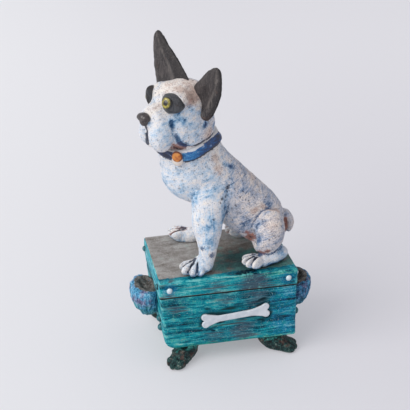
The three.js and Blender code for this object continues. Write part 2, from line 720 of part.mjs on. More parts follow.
place(head, "dog_head", trim(skullBody, ...headTrim), "clay");
place(head, "dog_nose", trim(nose(0), skullClear), "charcoal");
const jowlsClear = join(jowl(-1, GAP), jowl(1, GAP));
place(head, "dog_chin", trim(chin(0), skullClear, jowlsClear, ...headTrim), "clay");
["left", "right"].forEach((name) => {
  const side = ears[name].side;
  const set = side * EYE_SET[name];
  const eyeAt = [-31, 13.8 * set, -0.6];
  const gaze = [-1, 0.62 * side, 0.12];
  const eyeDome = faceAlong(dome(IRIS_RADIUS, 2.4), eyeAt, gaze);
  const socket = faceAlong(dome(IRIS_RADIUS + GAP, 12), eyeAt.map((v, i) => v - GAP * gaze[i]), gaze);
  const jowlTrim = [skullClear, midline, nose(GAP), ...headTrim];
  place(head, `dog_${name}_jowl`, trim(jowls[name], ...jowlTrim), "clay");
  place(head, `dog_${name}_eye_patch`, trim(eyePatch(set), skullClear, solid(socket)), "charcoal");
  place(head, `dog_${name}_eye`, solid(eyeDome), "iris");
  place(head, `dog_${name}_ear`, trim(ear(ears[name]), earScoop(ears[name]), skullClear), "charcoal");
});

const tagTrim = [trunkClear, collarBlank(GAP)];
const tagPlate = solid(faceAlong(dome(TAG_RADIUS, 1.6), tagAt(-0.4, 6.2), tagOutward));
const tagDisc = solid(faceAlong(dome(TAG_RADIUS, 2.8), tagAt(1.2, 3), tagOutward));
place(dog, "dog_tag_plate", trim(tagPlate, ...tagTrim), "bone");
place(dog, "dog_tag", trim(tagDisc, ...tagTrim), "orange");

export default part;
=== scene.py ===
"""Looks of the dog trinket box: hand-modelled stoneware, sponged and brushed with paint."""
import math

import bpy
import numpy as np
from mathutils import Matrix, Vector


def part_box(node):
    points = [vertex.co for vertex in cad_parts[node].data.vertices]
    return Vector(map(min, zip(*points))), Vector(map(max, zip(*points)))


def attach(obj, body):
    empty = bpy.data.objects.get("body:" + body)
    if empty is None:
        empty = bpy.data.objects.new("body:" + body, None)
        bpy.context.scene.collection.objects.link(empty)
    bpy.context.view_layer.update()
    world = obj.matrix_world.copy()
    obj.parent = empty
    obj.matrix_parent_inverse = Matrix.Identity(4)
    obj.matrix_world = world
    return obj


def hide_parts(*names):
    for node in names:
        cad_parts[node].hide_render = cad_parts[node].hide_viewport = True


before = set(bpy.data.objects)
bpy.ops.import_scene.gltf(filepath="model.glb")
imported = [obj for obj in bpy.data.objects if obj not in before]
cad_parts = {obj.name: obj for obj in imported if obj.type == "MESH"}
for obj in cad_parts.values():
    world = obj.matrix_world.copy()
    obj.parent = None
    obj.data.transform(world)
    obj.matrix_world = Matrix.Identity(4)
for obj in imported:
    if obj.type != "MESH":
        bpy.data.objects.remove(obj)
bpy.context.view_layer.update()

# Sizes in millimetres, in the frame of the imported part
MM = 0.001
LEFT = -1
RIGHT = 1
SIDE_NAMES = {LEFT: "left", RIGHT: "right"}
RIM = 69.5
LID_BOTTOM = 69.8
LID_TOP = 85.0
LID_HALF = np.array([60.0, 42.5])
SLAB_BOTTOM = 78.0
TRAY_HALF = np.array([59.6, 42.1])
TRAY_BOTTOM = 17.0
TRAY_FLOOR = 24.0
WALL = 6.6
FRONT_LEAN = 0.025
LEFT_LEAN = 0.09
RIGHT_LEAN = -0.03
FLANGE_INSIDE = np.array([51.88, 52.3, 34.68])
BONE_CENTRE = np.array([6.0, 0.0, 45.0])
BONE_HALF = 30.0
BONE_TILT = 4.5
BONE_EDGE = 0.7
DOG = np.array([0.0, 0.0, LID_TOP])
HEAD = np.array([-28.0, 0.0, 235.0])
HEAD_TURN = 28.0
COLLAR_CENTRE = np.array([-26.0, 0.0, 111.0]) + DOG
COLLAR_TILT = 6.5
COLLAR_ROLL = 12.5
COLLAR_HALF = 4.2
COLLAR_EDGE = 1.1
TAG_ANGLE = math.radians(60.5)
TAG_RADIUS = 4.6
ROLLED_EDGE = 10.0
NOISE_CELLS = (32, 32, 32)
PEARL_SEED = 30
BEAD_SEED = 40


# Numbers of the clay: turns, curves, noise


def turned(degrees):
    """Matrix that turns about Z first, then Y, then X."""
    x, y, z = np.radians(degrees)
    about_x = np.array([[1, 0, 0], [0, math.cos(x), -math.sin(x)], [0, math.sin(x), math.cos(x)]])
    about_y = np.array([[math.cos(y), 0, math.sin(y)], [0, 1, 0], [-math.sin(y), 0, math.cos(y)]])
    about_z = np.array([[math.cos(z), -math.sin(z), 0], [math.sin(z), math.cos(z), 0], [0, 0, 1]])
    return about_x @ about_y @ about_z


def spline(points, share, even=False):
    """Points of a smooth curve through the given ones, at shares from 0 to 1 of its length."""
    points = np.asarray(points, float)
    padded = np.vstack([2 * points[0] - points[1], points, 2 * points[-1] - points[-2]])
    at = share * (len(points) - 1)
    segment = np.minimum(at.astype(int), len(points) - 2)
    w = (at - segment)[:, None]
    a, b, c, d = (padded[segment + k] for k in range(4))
    if even:
        ab = bc = cd = np.ones_like(w)
    else:
        ab, bc, cd = (
            np.sqrt(np.linalg.norm(q - p, axis=1))[:, None] for p, q in ((a, b), (b, c), (c, d))
        )
    start = ((b - a) / ab - (c - a) / (ab + bc) + (c - b) / bc) * bc
    end = ((c - b) / bc - (d - b) / (bc + cd) + (d - c) / cd) * bc
    return b + start * w + (3 * (c - b) - 2 * start - end) * w**2 + (2 * (b - c) + start + end) * w**3


def between(grid, cell, w):
    """Values of a grid at shares w of the way from each cell's low corner to its high one."""
    total = 0
    for corner in np.ndindex(2, 2, 2):
        share = np.prod(np.where(np.array(corner) == 1, w, 1 - w), axis=1)
        x, y, z = ((cell + corner) % grid.shape).T
        total = total + share * grid[x, y, z]
    return total


def lumps(points, size, seed):
    """Smooth noise from -1 to 1 whose lumps are about that size; size may differ by axis."""
    table = np.random.default_rng(seed).uniform(-1, 1, NOISE_CELLS)
    at = points / np.asarray(size, float)
    cell = np.floor(at).astype(int)
    w = at - cell
    return between(table, cell, w * w * (3 - 2 * w))


def from_line(points, line):
    """Distance of each point from a line through the given corners."""
    nearest = np.full(len(points), np.inf)
    for a, b in zip(line[:-1], line[1:]):
        a, b = np.array(a, float), np.array(b, float)
        share = np.clip((points - a) @ (b - a) / ((b - a) @ (b - a)), 0, 1)
        nearest = np.minimum(nearest, np.linalg.norm(points - a - share[:, None] * (b - a), axis=1))
    return nearest


def fade(value, low, high):
    """0 below low, 1 above high and smooth between; low may be the larger."""
    share = np.clip((value - low) / (high - low), 0, 1)
    return share * share * (3 - 2 * share)


def soft_min(a, b, blend):
    """The smaller of two distances, with a soft seam where they meet."""
    share = np.clip(0.5 + 0.5 * (b - a) / blend, 0, 1)
    return b + (a - b) * share - blend * share * (1 - share)


def ellipsoid(local, radii):
    """Distance from the surface of an ellipsoid about the origin, true enough near the surface."""
    near = np.maximum(np.linalg.norm(local / radii, axis=1), 1e-4)
    slope = np.maximum(np.linalg.norm(local / radii**2, axis=1), 1e-6)
    return near * (near - 1) / slope


def rounded(distances, edge):
    """Distance from the solid within several surfaces, with the edges between them rounded."""
    over = np.stack(distances, axis=1) + edge
    return np.linalg.norm(np.maximum(over, 0), axis=1) + np.minimum(over.max(axis=1), 0) - edge


# Forms of the clay: each gives the distance of points from its surface, negative inside


class Ball:
    """An ellipsoid."""

    def __init__(self, centre, radii, turn=(0, 0, 0)):
        self.centre = np.array(centre, float)
        self.radii = np.array(radii, float)
        self.matrix = turned(turn)
        reach = np.sqrt(((self.matrix * self.radii) ** 2).sum(axis=1))
        self.low = self.centre - reach
        self.high = self.centre + reach

    def __call__(self, points):
        local = (points - self.centre) @ self.matrix
        return ellipsoid(local, self.radii)


class Limb:
    """Elliptical sections along a curve: stations are x, y, z, half-width and half-thickness."""

    SAMPLES = 56
    BATCH = 200000

    def __init__(self, stations, across=(0, 1, 0), caps=(0.2, 0.2), shift=(0, 0, 0)):
        stations = np.array(stations, float)
        share = np.linspace(0, 1, self.SAMPLES)
        spine = spline(stations[:, :3] + np.asarray(shift, float), share)
        dome = np.ones(self.SAMPLES)
        for cap, along in ((caps[0], share), (caps[1], 1 - share)):
            end = along < cap
            dome[end] = np.sqrt(1 - (1 - along[end] / cap) ** 2)
        girth = np.maximum(spline(stations[:, 3:5], share, even=True) * dome[:, None], 0.05)
        step = np.gradient(spine, axis=0)
        self.spacing = np.linalg.norm(step, axis=1)
        tangent = step / self.spacing[:, None]
        sideways = np.array(across, float) - tangent * (tangent @ np.array(across, float))[:, None]
        sideways /= np.linalg.norm(sideways, axis=1)[:, None]
        upward = np.cross(tangent, sideways)
        self.spine = spine
        self.tangent = tangent
        self.table = np.hstack([spine, sideways, upward, tangent, girth])
        reach = girth.max(axis=1)[:, None]
        self.low = (spine - reach).min(axis=0)
        self.high = (spine + reach).max(axis=0)

    def __call__(self, points):
        batches = [
            self.distance(points[first:first + self.BATCH]) for first in range(0, len(points), self.BATCH)
        ]
        return np.concatenate(batches)

    def crosswise(self, points):
        """How far points lie sideways from the curve, and the half-width there."""
        nearest = np.argmin((self.spine**2).sum(axis=1) - 2 * points @ self.spine.T, axis=1)
        row = self.table[nearest]
        return ((points - row[:, :3]) * row[:, 3:6]).sum(axis=1), np.maximum(row[:, 12], 1)

    def distance(self, points):
        """Distance of a batch of points from the limb's surface."""
        nearest = np.argmin((self.spine**2).sum(axis=1) - 2 * points @ self.spine.T, axis=1)
        past = ((points - self.spine[nearest]) * self.tangent[nearest]).sum(axis=1) / self.spacing[nearest]
        at = np.clip(nearest + np.clip(past, -1, 1), 0, self.SAMPLES - 1)
        lower = np.minimum(at.astype(int), self.SAMPLES - 2)
        w = (at - lower)[:, None]
        row = self.table[lower] * (1 - w) + self.table[lower + 1] * w
        away = points - row[:, :3]
        local = np.stack([(away * row[:, k:k + 3]).sum(axis=1) for k in (3, 6, 9)], axis=1)
        girth = np.stack([row[:, 12], row[:, 13], np.minimum(row[:, 12], row[:, 13])], axis=1)
        return ellipsoid(local, girth)


class Slab:
    """A block with rounded edges; lean moves each side face inward by so much for each mm below level."""

    def __init__(self, low, high, rounding=1.0, lean=(0, 0, 0, 0), level=0.0):
        self.low = np.array(low, float)
        self.high = np.array(high, float)
        self.rounding = rounding
        self.lean = lean
        self.level = level

    def __call__(self, points):
        drop = self.level - points[:, 2]
        left, right, front, back = (slope * drop for slope in self.lean)
        across = np.maximum(self.low[0] + left - points[:, 0], points[:, 0] - self.high[0] + right)
        deep = np.maximum(self.low[1] + front - points[:, 1], points[:, 1] - self.high[1] + back)
        tall = np.maximum(self.low[2] - points[:, 2], points[:, 2] - self.high[2])
        return rounded([across, deep, tall], self.rounding)


class Shape:
    """A form given by any distance function and the box it fits in."""

    def __init__(self, low, high, distance):
        self.low = np.array(low, float)
        self.high = np.array(high, float)
        self.distance = distance

    def __call__(self, points):
        return self.distance(points)


# A block of clay on a grid, and the skin taken from it


class Clay:
    """Clay held as distances on a grid: forms are joined to it and cut from it with soft seams."""

    EMPTY = 40.0
    SETTLING = 20
    FILLED = -0.05

    def __init__(self, low, high, step):
        self.low = np.array(low, float)
        self.step = step
        self.count = np.ceil((np.array(high, float) - self.low) / step).astype(int) + 1
        self.field = np.full(self.count, self.EMPTY, np.float32)

    def window(self, form, margin):
        """The part of the grid that a form can reach, and its points."""
        first = np.floor((form.low - margin - self.low) / self.step).astype(int).clip(0, self.count - 1)
        last = np.ceil((form.high + margin - self.low) / self.step).astype(int).clip(0, self.count - 1) + 1
        axes = [self.low[k] + self.step * np.arange(first[k], last[k]) for k in range(3)]
        points = np.stack(np.meshgrid(*axes, indexing="ij"), axis=-1).reshape(-1, 3)
        return tuple(slice(a, b) for a, b in zip(first, last)), points

    def add(self, form, blend=2.0):
        """Join a form to the clay."""
        where, points = self.window(form, blend + 3)
        old = self.field[where]
        self.field[where] = soft_min(old, form(points).reshape(old.shape), blend)

    def carve(self, form, blend=1.0):
        """Cut a form from the clay."""
        where, points = self.window(form, blend + 1)
        old = self.field[where]
        self.field[where] = -soft_min(-old, form(points).reshape(old.shape), blend)

    def grid(self, axis):
        """The grid's places along one axis, shaped to work against the whole field."""
        shape = [1, 1, 1]
        shape[axis] = -1
        return (self.low[axis] + self.step * np.arange(self.count[axis])).reshape(shape)

    def keep(self, distance):
        """Cut away all clay where a distance over the grid is positive, with a crisp edge."""
        self.field = np.maximum(self.field, distance.astype(np.float32))

    def settle(self):
        """Fill the corners of every grid square where two skins would meet along one edge."""
        unit = np.eye(3, dtype=int)
        for _ in range(self.SETTLING):
            crowded = 0
            for u, v in ((unit[0], unit[1]), (unit[0], unit[2]), (unit[1], unit[2])):
                inside = self.field < 0
                corners = (0 * u, u, u + v, v)
                size = self.count - u - v
                windows = [tuple(map(slice, corner, corner + size)) for corner in corners]
                a, b, c, d = (inside[window] for window in windows)
                square = np.argwhere((a == c) & (b == d) & (a != b))
                crowded += len(square)
                for corner in corners:
                    where = tuple((square + corner).T)
                    self.field[where] = np.minimum(self.field[where], self.FILLED)
            if not crowded:
                break

    def sample(self, grid, points):
        """Values of a grid at any points."""
        at = ((points - self.low) / self.step).clip(0, self.count - 1.001)
        cell = at.astype(int)
        return between(grid, cell, at - cell)


class Skin:
    """The closed quad mesh of a block of clay."""

    def __init__(self, clay, rounds=5):
        clay.settle()
        self.faces, self.points = self.largest(*self.net(clay))
        self.first = self.faces.ravel()
        self.second = np.roll(self.faces, -1, axis=1).ravel()
        self.valence = np.bincount(self.first, minlength=len(self.points)).astype(float)
        slopes = np.gradient(clay.field, clay.step)
        for _ in range(rounds):
            self.points += 0.5 * (self.around(self.points) - self.points)
            distance = clay.sample(clay.field, self.points)
            slope = np.stack([clay.sample(grid, self.points) for grid in slopes], axis=1)
            steep = np.maximum((slope**2).sum(axis=1), 0.1)
            self.points -= slope * np.clip(distance / steep, -clay.step, clay.step)[:, None]
        self.find_normals()

    def net(self, clay):
        """Faces and points of the surface between clay and air, one point for each cell it crosses."""
        field = clay.field
        inside = field < 0
        cells = tuple(n - 1 for n in field.shape)
        corners = [tuple(slice(c, c + n) for c, n in zip(corner, cells)) for corner in np.ndindex(2, 2, 2)]
        filled = sum(inside[corner].astype(np.int8) for corner in corners)
        cell = np.argwhere((filled > 0) & (filled < 8))
        number = np.full(cells, -1)
        number[tuple(cell.T)] = np.arange(len(cell))
        total = np.zeros((len(cell), 3))
        crossings = np.zeros(len(cell))
        for axis in range(3):
            unit = np.eye(3, dtype=int)[axis]
            for corner in np.ndindex(2, 2, 2):
                if corner[axis]:
                    continue
                a = field[tuple((cell + corner).T)]
                b = field[tuple((cell + corner + unit).T)]
                crossed = (a < 0) != (b < 0)
                share = np.where(crossed, a / np.where(crossed, a - b, 1), 0)
                total += np.where(crossed[:, None], np.array(corner) + unit * share[:, None], 0)
                crossings += crossed
        points = clay.low + clay.step * (cell + total / crossings[:, None])
        faces = []
        for axis in range(3):
            unit = np.eye(3, dtype=int)
            u, v = unit[(axis + 1) % 3], unit[(axis + 2) % 3]
            low_end = np.take(inside, range(field.shape[axis] - 1), axis=axis)
            high_end = np.take(inside, range(1, field.shape[axis]), axis=axis)
            edge = np.argwhere(low_end != high_end)
            quad = np.stack([number[tuple((edge - k).T)] for k in (0 * u, u, u + v, v)], axis=1)
            outward = low_end[tuple(edge.T)]
            faces.append(np.where(outward[:, None], quad, quad[:, ::-1]))
        return np.vstack(faces), points

    def largest(self, faces, points):
        """The faces and points of the largest part that hangs together."""
        part = np.arange(len(points))
        settled = False
        while not settled:
            joined = part.copy()
            np.minimum.at(joined, faces.ravel(), np.repeat(part[faces].min(axis=1), 4))
            joined = joined[joined]
            settled = (joined == part).all()
            part = joined
        faces = faces[part[faces[:, 0]] == np.bincount(part[faces[:, 0]]).argmax()]
        used, faces = np.unique(faces, return_inverse=True)
        return faces.reshape(-1, 4), points[used]

    def around(self, values):
        """The mean of the values at each point's neighbours."""
        columns = values.reshape(len(values), -1).T
        sums = [np.bincount(self.first, column[self.second], len(values)) for column in columns]
        return (np.stack(sums, axis=1) / self.valence[:, None]).reshape(values.shape)

    def softened(self, values, times):
        """Values smoothed over the skin."""
        for _ in range(times):
            values = 0.5 * values + 0.5 * self.around(values)
        return values

    def find_normals(self):
        """The outward direction at each point, weighted by the faces round it."""
        a, b, c, d = (self.points[self.faces[:, k]] for k in range(4))
        flat = np.cross(c - a, d - b)
        sums = [np.bincount(self.first, np.repeat(flat[:, k], 4), len(self.points)) for k in range(3)]
        normals = np.stack(sums, axis=1)
        self.normals = normals / np.maximum(np.linalg.norm(normals, axis=1), 1e-9)[:, None]

    def push(self, amount):
        """Move each point along its normal."""
        self.points += self.normals * amount[:, None]
        self.find_normals()

    def hollows(self, times):
        """How far each point lies below the skin smoothed over a wider patch, in mm."""
        return ((self.softened(self.points, times) - self.points) * self.normals).sum(axis=1)


def dabs(points, marks):
    """Strength of a set of soft brush dabs: each is x, y, z, a radius and an amount."""
    total = np.zeros(len(points))
    for *centre, radius, amount in marks:
        away = np.linalg.norm(points - centre, axis=1)
        total = np.maximum(total, amount * np.exp(-((away / radius) ** 2)))
    return total


def both_sides(points):
    """Points with the far side folded on to the near side, so one set of marks serves both."""
    return np.stack([points[:, 0], -np.abs(points[:, 1]), points[:, 2]], axis=1)


# Paint: node materials built up in layers


def colour(red, green, blue):
    """A colour written in display values from 0 to 255."""
    parts = []
    for value in (red, green, blue):
        share = value / 255
        parts.append(share / 12.92 if share <= 0.04045 else ((share + 0.055) / 1.055) ** 2.4)
    return (*parts, 1.0)


class Paint:
    """A principled material whose colour, roughness and bump are made by nodes."""

    COVER_LIFT = 0.36
    COVER_LEVEL = 0.66

    def __init__(self, name):
        self.material = bpy.data.materials.new(name)
        self.material.use_nodes = True
        self.tree = self.material.node_tree
        self.shader = self.tree.nodes["Principled BSDF"]
        self.place = self.tree.nodes.new("ShaderNodeTexCoord").outputs["Object"]

    def node(self, kind, inputs, output, **settings):
        """Add a node, set or link its inputs, and give one output."""
        made = self.tree.nodes.new(kind)
        for key, value in settings.items():
            setattr(made, key, value)
        for key, value in inputs.items():
            if isinstance(value, bpy.types.NodeSocket):
                self.tree.links.new(value, made.inputs[key])
            else:
                made.inputs[key].default_value = value
        return made.outputs[output]

    def stretched(self, size, tilt=0.0):
        """The place on the object, counted in sizes given in mm."""
        sizes = (size, size, size) if np.isscalar(size) else size
        scale = tuple(1 / (MM * one) for one in sizes)
        place = self.place
        if tilt:
            inputs = {"Vector": place, "Angle": math.radians(tilt)}
            place = self.node("ShaderNodeVectorRotate", inputs, 0, rotation_type="Y_AXIS")
        return self.node("ShaderNodeVectorMath", {0: place, 1: scale}, 0, operation="MULTIPLY")

    def noise(self, size, detail=4.0, rough=0.6, twist=0.0, tilt=0.0):
        """Cloudy noise; size in mm, one or one for each axis."""
        inputs = {"Vector": self.stretched(size, tilt), "Scale": 1.0, "Detail": detail}
        return self.node("ShaderNodeTexNoise", {**inputs, "Roughness": rough, "Distortion": twist}, 0)

    def dots(self, size):
        """Distance from the nearest of many scattered dots."""
        inputs = {"Vector": self.stretched(size), "Scale": 1.0}
        return self.node("ShaderNodeTexVoronoi", inputs, "Distance")

    def mask(self, name):
        """A mask held by the mesh."""
        return self.node("ShaderNodeAttribute", {}, "Fac", attribute_name=name)

    def ramp(self, value, low, high):
        """0 at low, 1 at high and smooth between."""
        inputs = {"Value": value, "From Min": low, "From Max": high}
        return self.node("ShaderNodeMapRange", inputs, 0, interpolation_type="SMOOTHSTEP")

    def spread(self, pattern, gain, level):
        """A noise pattern stretched about its middle and moved to a level."""
        return self.plus(self.times(self.plus(pattern, -0.5), gain), level)

    def bands(self, value, *stops):
        """Colours along a value from 0 to 1: each stop is a place and a colour in display values."""
        made = self.tree.nodes.new("ShaderNodeValToRGB")
        self.tree.links.new(value, made.inputs[0])
        marks = made.color_ramp.elements
        for mark, (place, *tint) in zip(marks, (stops[0], stops[-1])):
            mark.position = place
            mark.color = colour(*tint)
        for place, *tint in stops[1:-1]:
            marks.new(place).color = colour(*tint)
        return made.outputs[0]

    def blend(self, share, a, b):
        """One value passing into another by a share."""
        return self.node("ShaderNodeMix", {0: share, 2: a, 3: b}, 0, data_type="FLOAT")

    def sums(self, operation, a, b):
        """One step of arithmetic on two values."""
        return self.node("ShaderNodeMath", {0: a, 1: b}, 0, operation=operation)

    def times(self, a, b):
        return self.sums("MULTIPLY", a, b)

    def plus(self, a, b):
        return self.sums("ADD", a, b)

    def total(self, *parts):
        """A sum of parts: each is a value, or a value and its weight."""
        values = [self.times(*part) if isinstance(part, tuple) else part for part in parts]
        summed = values[0]
        for value in values[1:]:
            summed = self.plus(summed, value)
        return summed

    def cover(self, share, pattern, soft=0.03):
        """Patchy cover of paint by a noise pattern: none where the share is 0, nearly all at 1."""
        raised = self.plus(pattern, self.times(share, self.COVER_LIFT))
        return self.ramp(raised, self.COVER_LEVEL - soft, self.COVER_LEVEL + soft)

    def layer(self, tint, over, share, pattern, strength=0.85, soft=0.03):
        """A patchy layer of paint over a tint."""
        return self.mix(self.times(self.cover(share, pattern, soft), strength), tint, over)

    def mix(self, share, under, over):
        """One tint laid over another; a tint is a socket or a colour in display values."""
        under, over = (colour(*tint) if isinstance(tint, tuple) else tint for tint in (under, over))
        return self.node("ShaderNodeMix", {0: share, 6: under, 7: over}, 2, data_type="RGBA")

    def finish(self, tint, roughness, height, depth=0.4, strength=0.6, gloss=0.5):
        """Join colour, roughness and bump height to the shader; depth is the bump's height in mm."""
        links = self.tree.links
        self.shader.inputs["Specular IOR Level"].default_value = gloss
        bump = self.node(
            "ShaderNodeBump", {"Strength": strength, "Distance": depth * MM, "Height": height}, 0
        )
        links.new(tint, self.shader.inputs["Base Color"])
        links.new(roughness, self.shader.inputs["Roughness"])
        links.new(bump, self.shader.inputs["Normal"])
        return self.material


def dog_paint():
    """Pale slip sponged with blue, warm grey to the rear, dark wash and painted shade in the creases."""
    p = Paint("painted_dog")
    cloud = p.noise(9.0, 4.0, 0.62)
    sponge = p.noise(3.4, 8.0, 0.72)
    grain = p.noise(0.9, 4.0, 0.78)
    down = p.noise((2.2, 2.2, 14.0), 5.0, 0.66, 1.0)
    about = p.noise((13.0, 13.0, 2.4), 5.0, 0.66, 1.2, 24.0)
    strokes = p.blend(p.mask("leg"), about, down)
    mottle = p.total((sponge, 0.5), (grain, 0.5))
    pattern = p.total((strokes, 0.36), (cloud, 0.24), (mottle, 0.4))
    patchy = p.times(p.mask("blue"), p.spread(cloud, 2.4, 0.58))
    level = p.total((p.mask("warm"), 0.1), (p.mask("pink"), -0.4))
    gain = p.total(3.1, (p.mask("warm"), 1.4))
    value = p.spread(pattern, gain, p.total(patchy, 0.21, level))
    cool = p.bands(
        value,
        (0.0, 243, 238, 232), (0.22, 229, 232, 238), (0.45, 196, 217, 236), (0.68, 138, 182, 217),
        (0.86, 62, 112, 162), (1.0, 30, 60, 102),
    )
    warm = p.bands(
        value,
        (0.0, 234, 223, 217), (0.25, 208, 203, 207), (0.5, 172, 178, 198), (0.75, 104, 122, 154),
        (1.0, 54, 70, 106),
    )
    tint = p.mix(p.mask("warm"), cool, warm)
    pink = p.ramp(p.spread(mottle, 3.0, p.mask("pink")), 0.2, 0.9)
    tint = p.mix(p.times(pink, 0.66), tint, (180, 142, 124))
    tint = p.layer(tint, (46, 54, 78), p.total(0.14, (p.mask("warm"), 0.16)), grain, 0.75)
    veins = p.sums("ABSOLUTE", p.plus(p.noise(5.0, 5.0, 0.6, 0.6), -0.5), 0.0)
    cracks = p.times(p.ramp(veins, 0.012, 0.003), p.ramp(cloud, 0.5, 0.62))
    tint = p.mix(p.times(cracks, p.total(0.3, (p.mask("warm"), 0.5))), tint, (72, 68, 82))
    tint = p.layer(tint, (244, 238, 231), p.times(p.mask("ridge"), 0.55), mottle, 0.7, 0.06)
    # rust-brown patches; in the gap behind the tail and under the chin they are painted shadow
    rust = p.bands(p.spread(mottle, 5.0, 0.5), (0.0, 66, 30, 28), (1.0, 206, 138, 116))
    tint = p.mix(p.times(p.cover(p.mask("rust"), mottle, 0.07), 0.9), tint, rust)
    # painted shade: dark blue in the hollows and creases, partly a dark wash and partly shade
    tint = p.layer(tint, (18, 68, 112), p.mask("hollow"), mottle, 0.85, 0.09)
    # near-black lines: the mouth line, and painted shade in the leg crease, the toe gaps and along the collar
    tint = p.layer(tint, (24, 36, 60), p.mask("ink"), mottle, 0.9, 0.06)
    pits = p.ramp(p.total(p.dots(4.6), (sponge, 0.5)), 0.41, 0.35)
    tint = p.mix(p.times(pits, p.total(0.3, (p.mask("warm"), 0.6))), tint, (56, 54, 68))
    roughness = p.total(0.5, (sponge, 0.35))
    dents = p.total((pits, -0.6), (cracks, -0.3))
    height = p.total(mottle, (strokes, 0.3), dents)
    return p.finish(tint, roughness, height, depth=1.1, strength=1.0, gloss=0.3)


def clay_tint(p):
    """Unpainted red-brown stoneware."""
    cloud = p.noise(12.0, 4.0, 0.6)
    grain = p.noise(1.0, 3.0, 0.65)
    value = p.spread(p.total((cloud, 0.6), (grain, 0.4)), 3.0, 0.5)
    return p.bands(value, (0.0, 112, 80, 66), (0.5, 152, 110, 90), (1.0, 178, 138, 116))


def teal_layers(p):
    """Brushed teal over dark ground: its colour, roughness and bump height."""
    streak = p.noise((36.0, 36.0, 2.8), 6.0, 0.66, 1.0)
    broad = p.noise((50.0, 50.0, 8.0), 4.0, 0.6, 1.4)
    mottle = p.noise(5.0, 8.0, 0.74)
    grain = p.noise(0.9, 3.0, 0.7)
    rough = p.total((mottle, 0.6), (grain, 0.4))
    pattern = p.total((streak, 0.44), (broad, 0.28), (rough, 0.28))
    level = p.total(0.52, (p.mask("light"), 0.3), (p.mask("dark"), -0.35))
    value = p.spread(pattern, 5.4, level)
    teal = p.bands(
        value,
        (0.0, 2, 28, 40), (0.26, 2, 80, 98), (0.5, 2, 122, 140), (0.7, 22, 156, 166),
        (0.88, 84, 192, 192), (1.0, 156, 214, 208),
    )
    azure = p.bands(
        value,
        (0.0, 3, 30, 58), (0.4, 2, 94, 132), (0.7, 14, 134, 168), (1.0, 120, 190, 208),
    )
    green = p.bands(
        value,
        (0.0, 4, 36, 34), (0.45, 6, 112, 104), (0.75, 44, 158, 134), (1.0, 150, 204, 150),
    )
    tint = p.mix(p.ramp(p.spread(mottle, 2.4, p.mask("azure")), 0.25, 0.75), teal, azure)
    tint = p.mix(p.ramp(p.spread(mottle, 2.4, p.mask("green")), 0.25, 0.75), tint, green)
    streaky = p.total((broad, 0.25), (streak, 0.75))
    tint = p.layer(tint, (104, 116, 128), p.times(p.mask("grey"), 0.62), streaky, 0.7, 0.08)
    tint = p.layer(tint, (40, 46, 68), p.times(p.mask("grey"), 0.5), streak, 0.7, 0.05)
    tint = p.layer(tint, (176, 200, 198), 0.05, grain, 0.6)
    tint = p.layer(tint, (110, 196, 196), p.times(p.mask("ridge"), 0.4), mottle, 0.7, 0.07)
    # painted shade: near-black in the hollows
    tint = p.layer(tint, (3, 30, 38), p.mask("hollow"), pattern, 0.94, 0.08)
    tint = p.mix(p.mask("inner"), tint, clay_tint(p))
    roughness = p.total(0.34, (p.plus(mottle, streak), 0.2))
    height = p.total(streak, broad, (mottle, 0.6), (grain, 0.35))
    return tint, roughness, height


def teal_paint():
    """Tray paint."""
    p = Paint("brushed_teal")
    tint, roughness, height = teal_layers(p)
    return p.finish(tint, roughness, height, depth=0.6, strength=0.7, gloss=0.12)


def lid_paint():
    """Teal sides like the tray's, under a grey-brown brushed top."""
    p = Paint("brushed_lid")
    side, side_roughness, side_height = teal_layers(p)
    brush = p.noise((22.0, 8.0, 8.0), 7.0, 0.72, 1.8)
    cloud = p.noise(14.0, 6.0, 0.66)
    grain = p.noise(1.0, 4.0, 0.75)
    pattern = p.total((brush, 0.25), (cloud, 0.35), (grain, 0.4))
    # the shade mask darkens the top as painted shadow under the dog; the mossy part is a little darker too
    shade = p.total((p.mask("moss"), -0.12), (p.mask("shade"), -0.26))
    value = p.spread(pattern, 3.4, p.plus(0.6, shade))
    grey = p.bands(
        value,
        (0.0, 64, 60, 58), (0.35, 118, 112, 106), (0.65, 156, 153, 150), (1.0, 192, 191, 188),
    )
    moss = p.bands(
        value,
        (0.0, 18, 34, 40), (0.4, 62, 98, 98), (0.7, 90, 140, 132), (1.0, 152, 182, 168),
    )
    top = p.mix(p.ramp(p.spread(cloud, 2.6, p.mask("moss")), 0.2, 0.8), grey, moss)
    share = p.cover(p.mask("teal"), p.total((brush, 0.5), (cloud, 0.5)), 0.03)
    tint = p.mix(share, top, side)
    roughness = p.blend(share, p.total(0.46, (brush, 0.3)), side_roughness)
    height = p.total((brush, 1.2), (grain, 0.4), (cloud, 0.6))
    return p.finish(tint, roughness, p.blend(share, height, side_height), depth=0.6, strength=0.8, gloss=0.12)


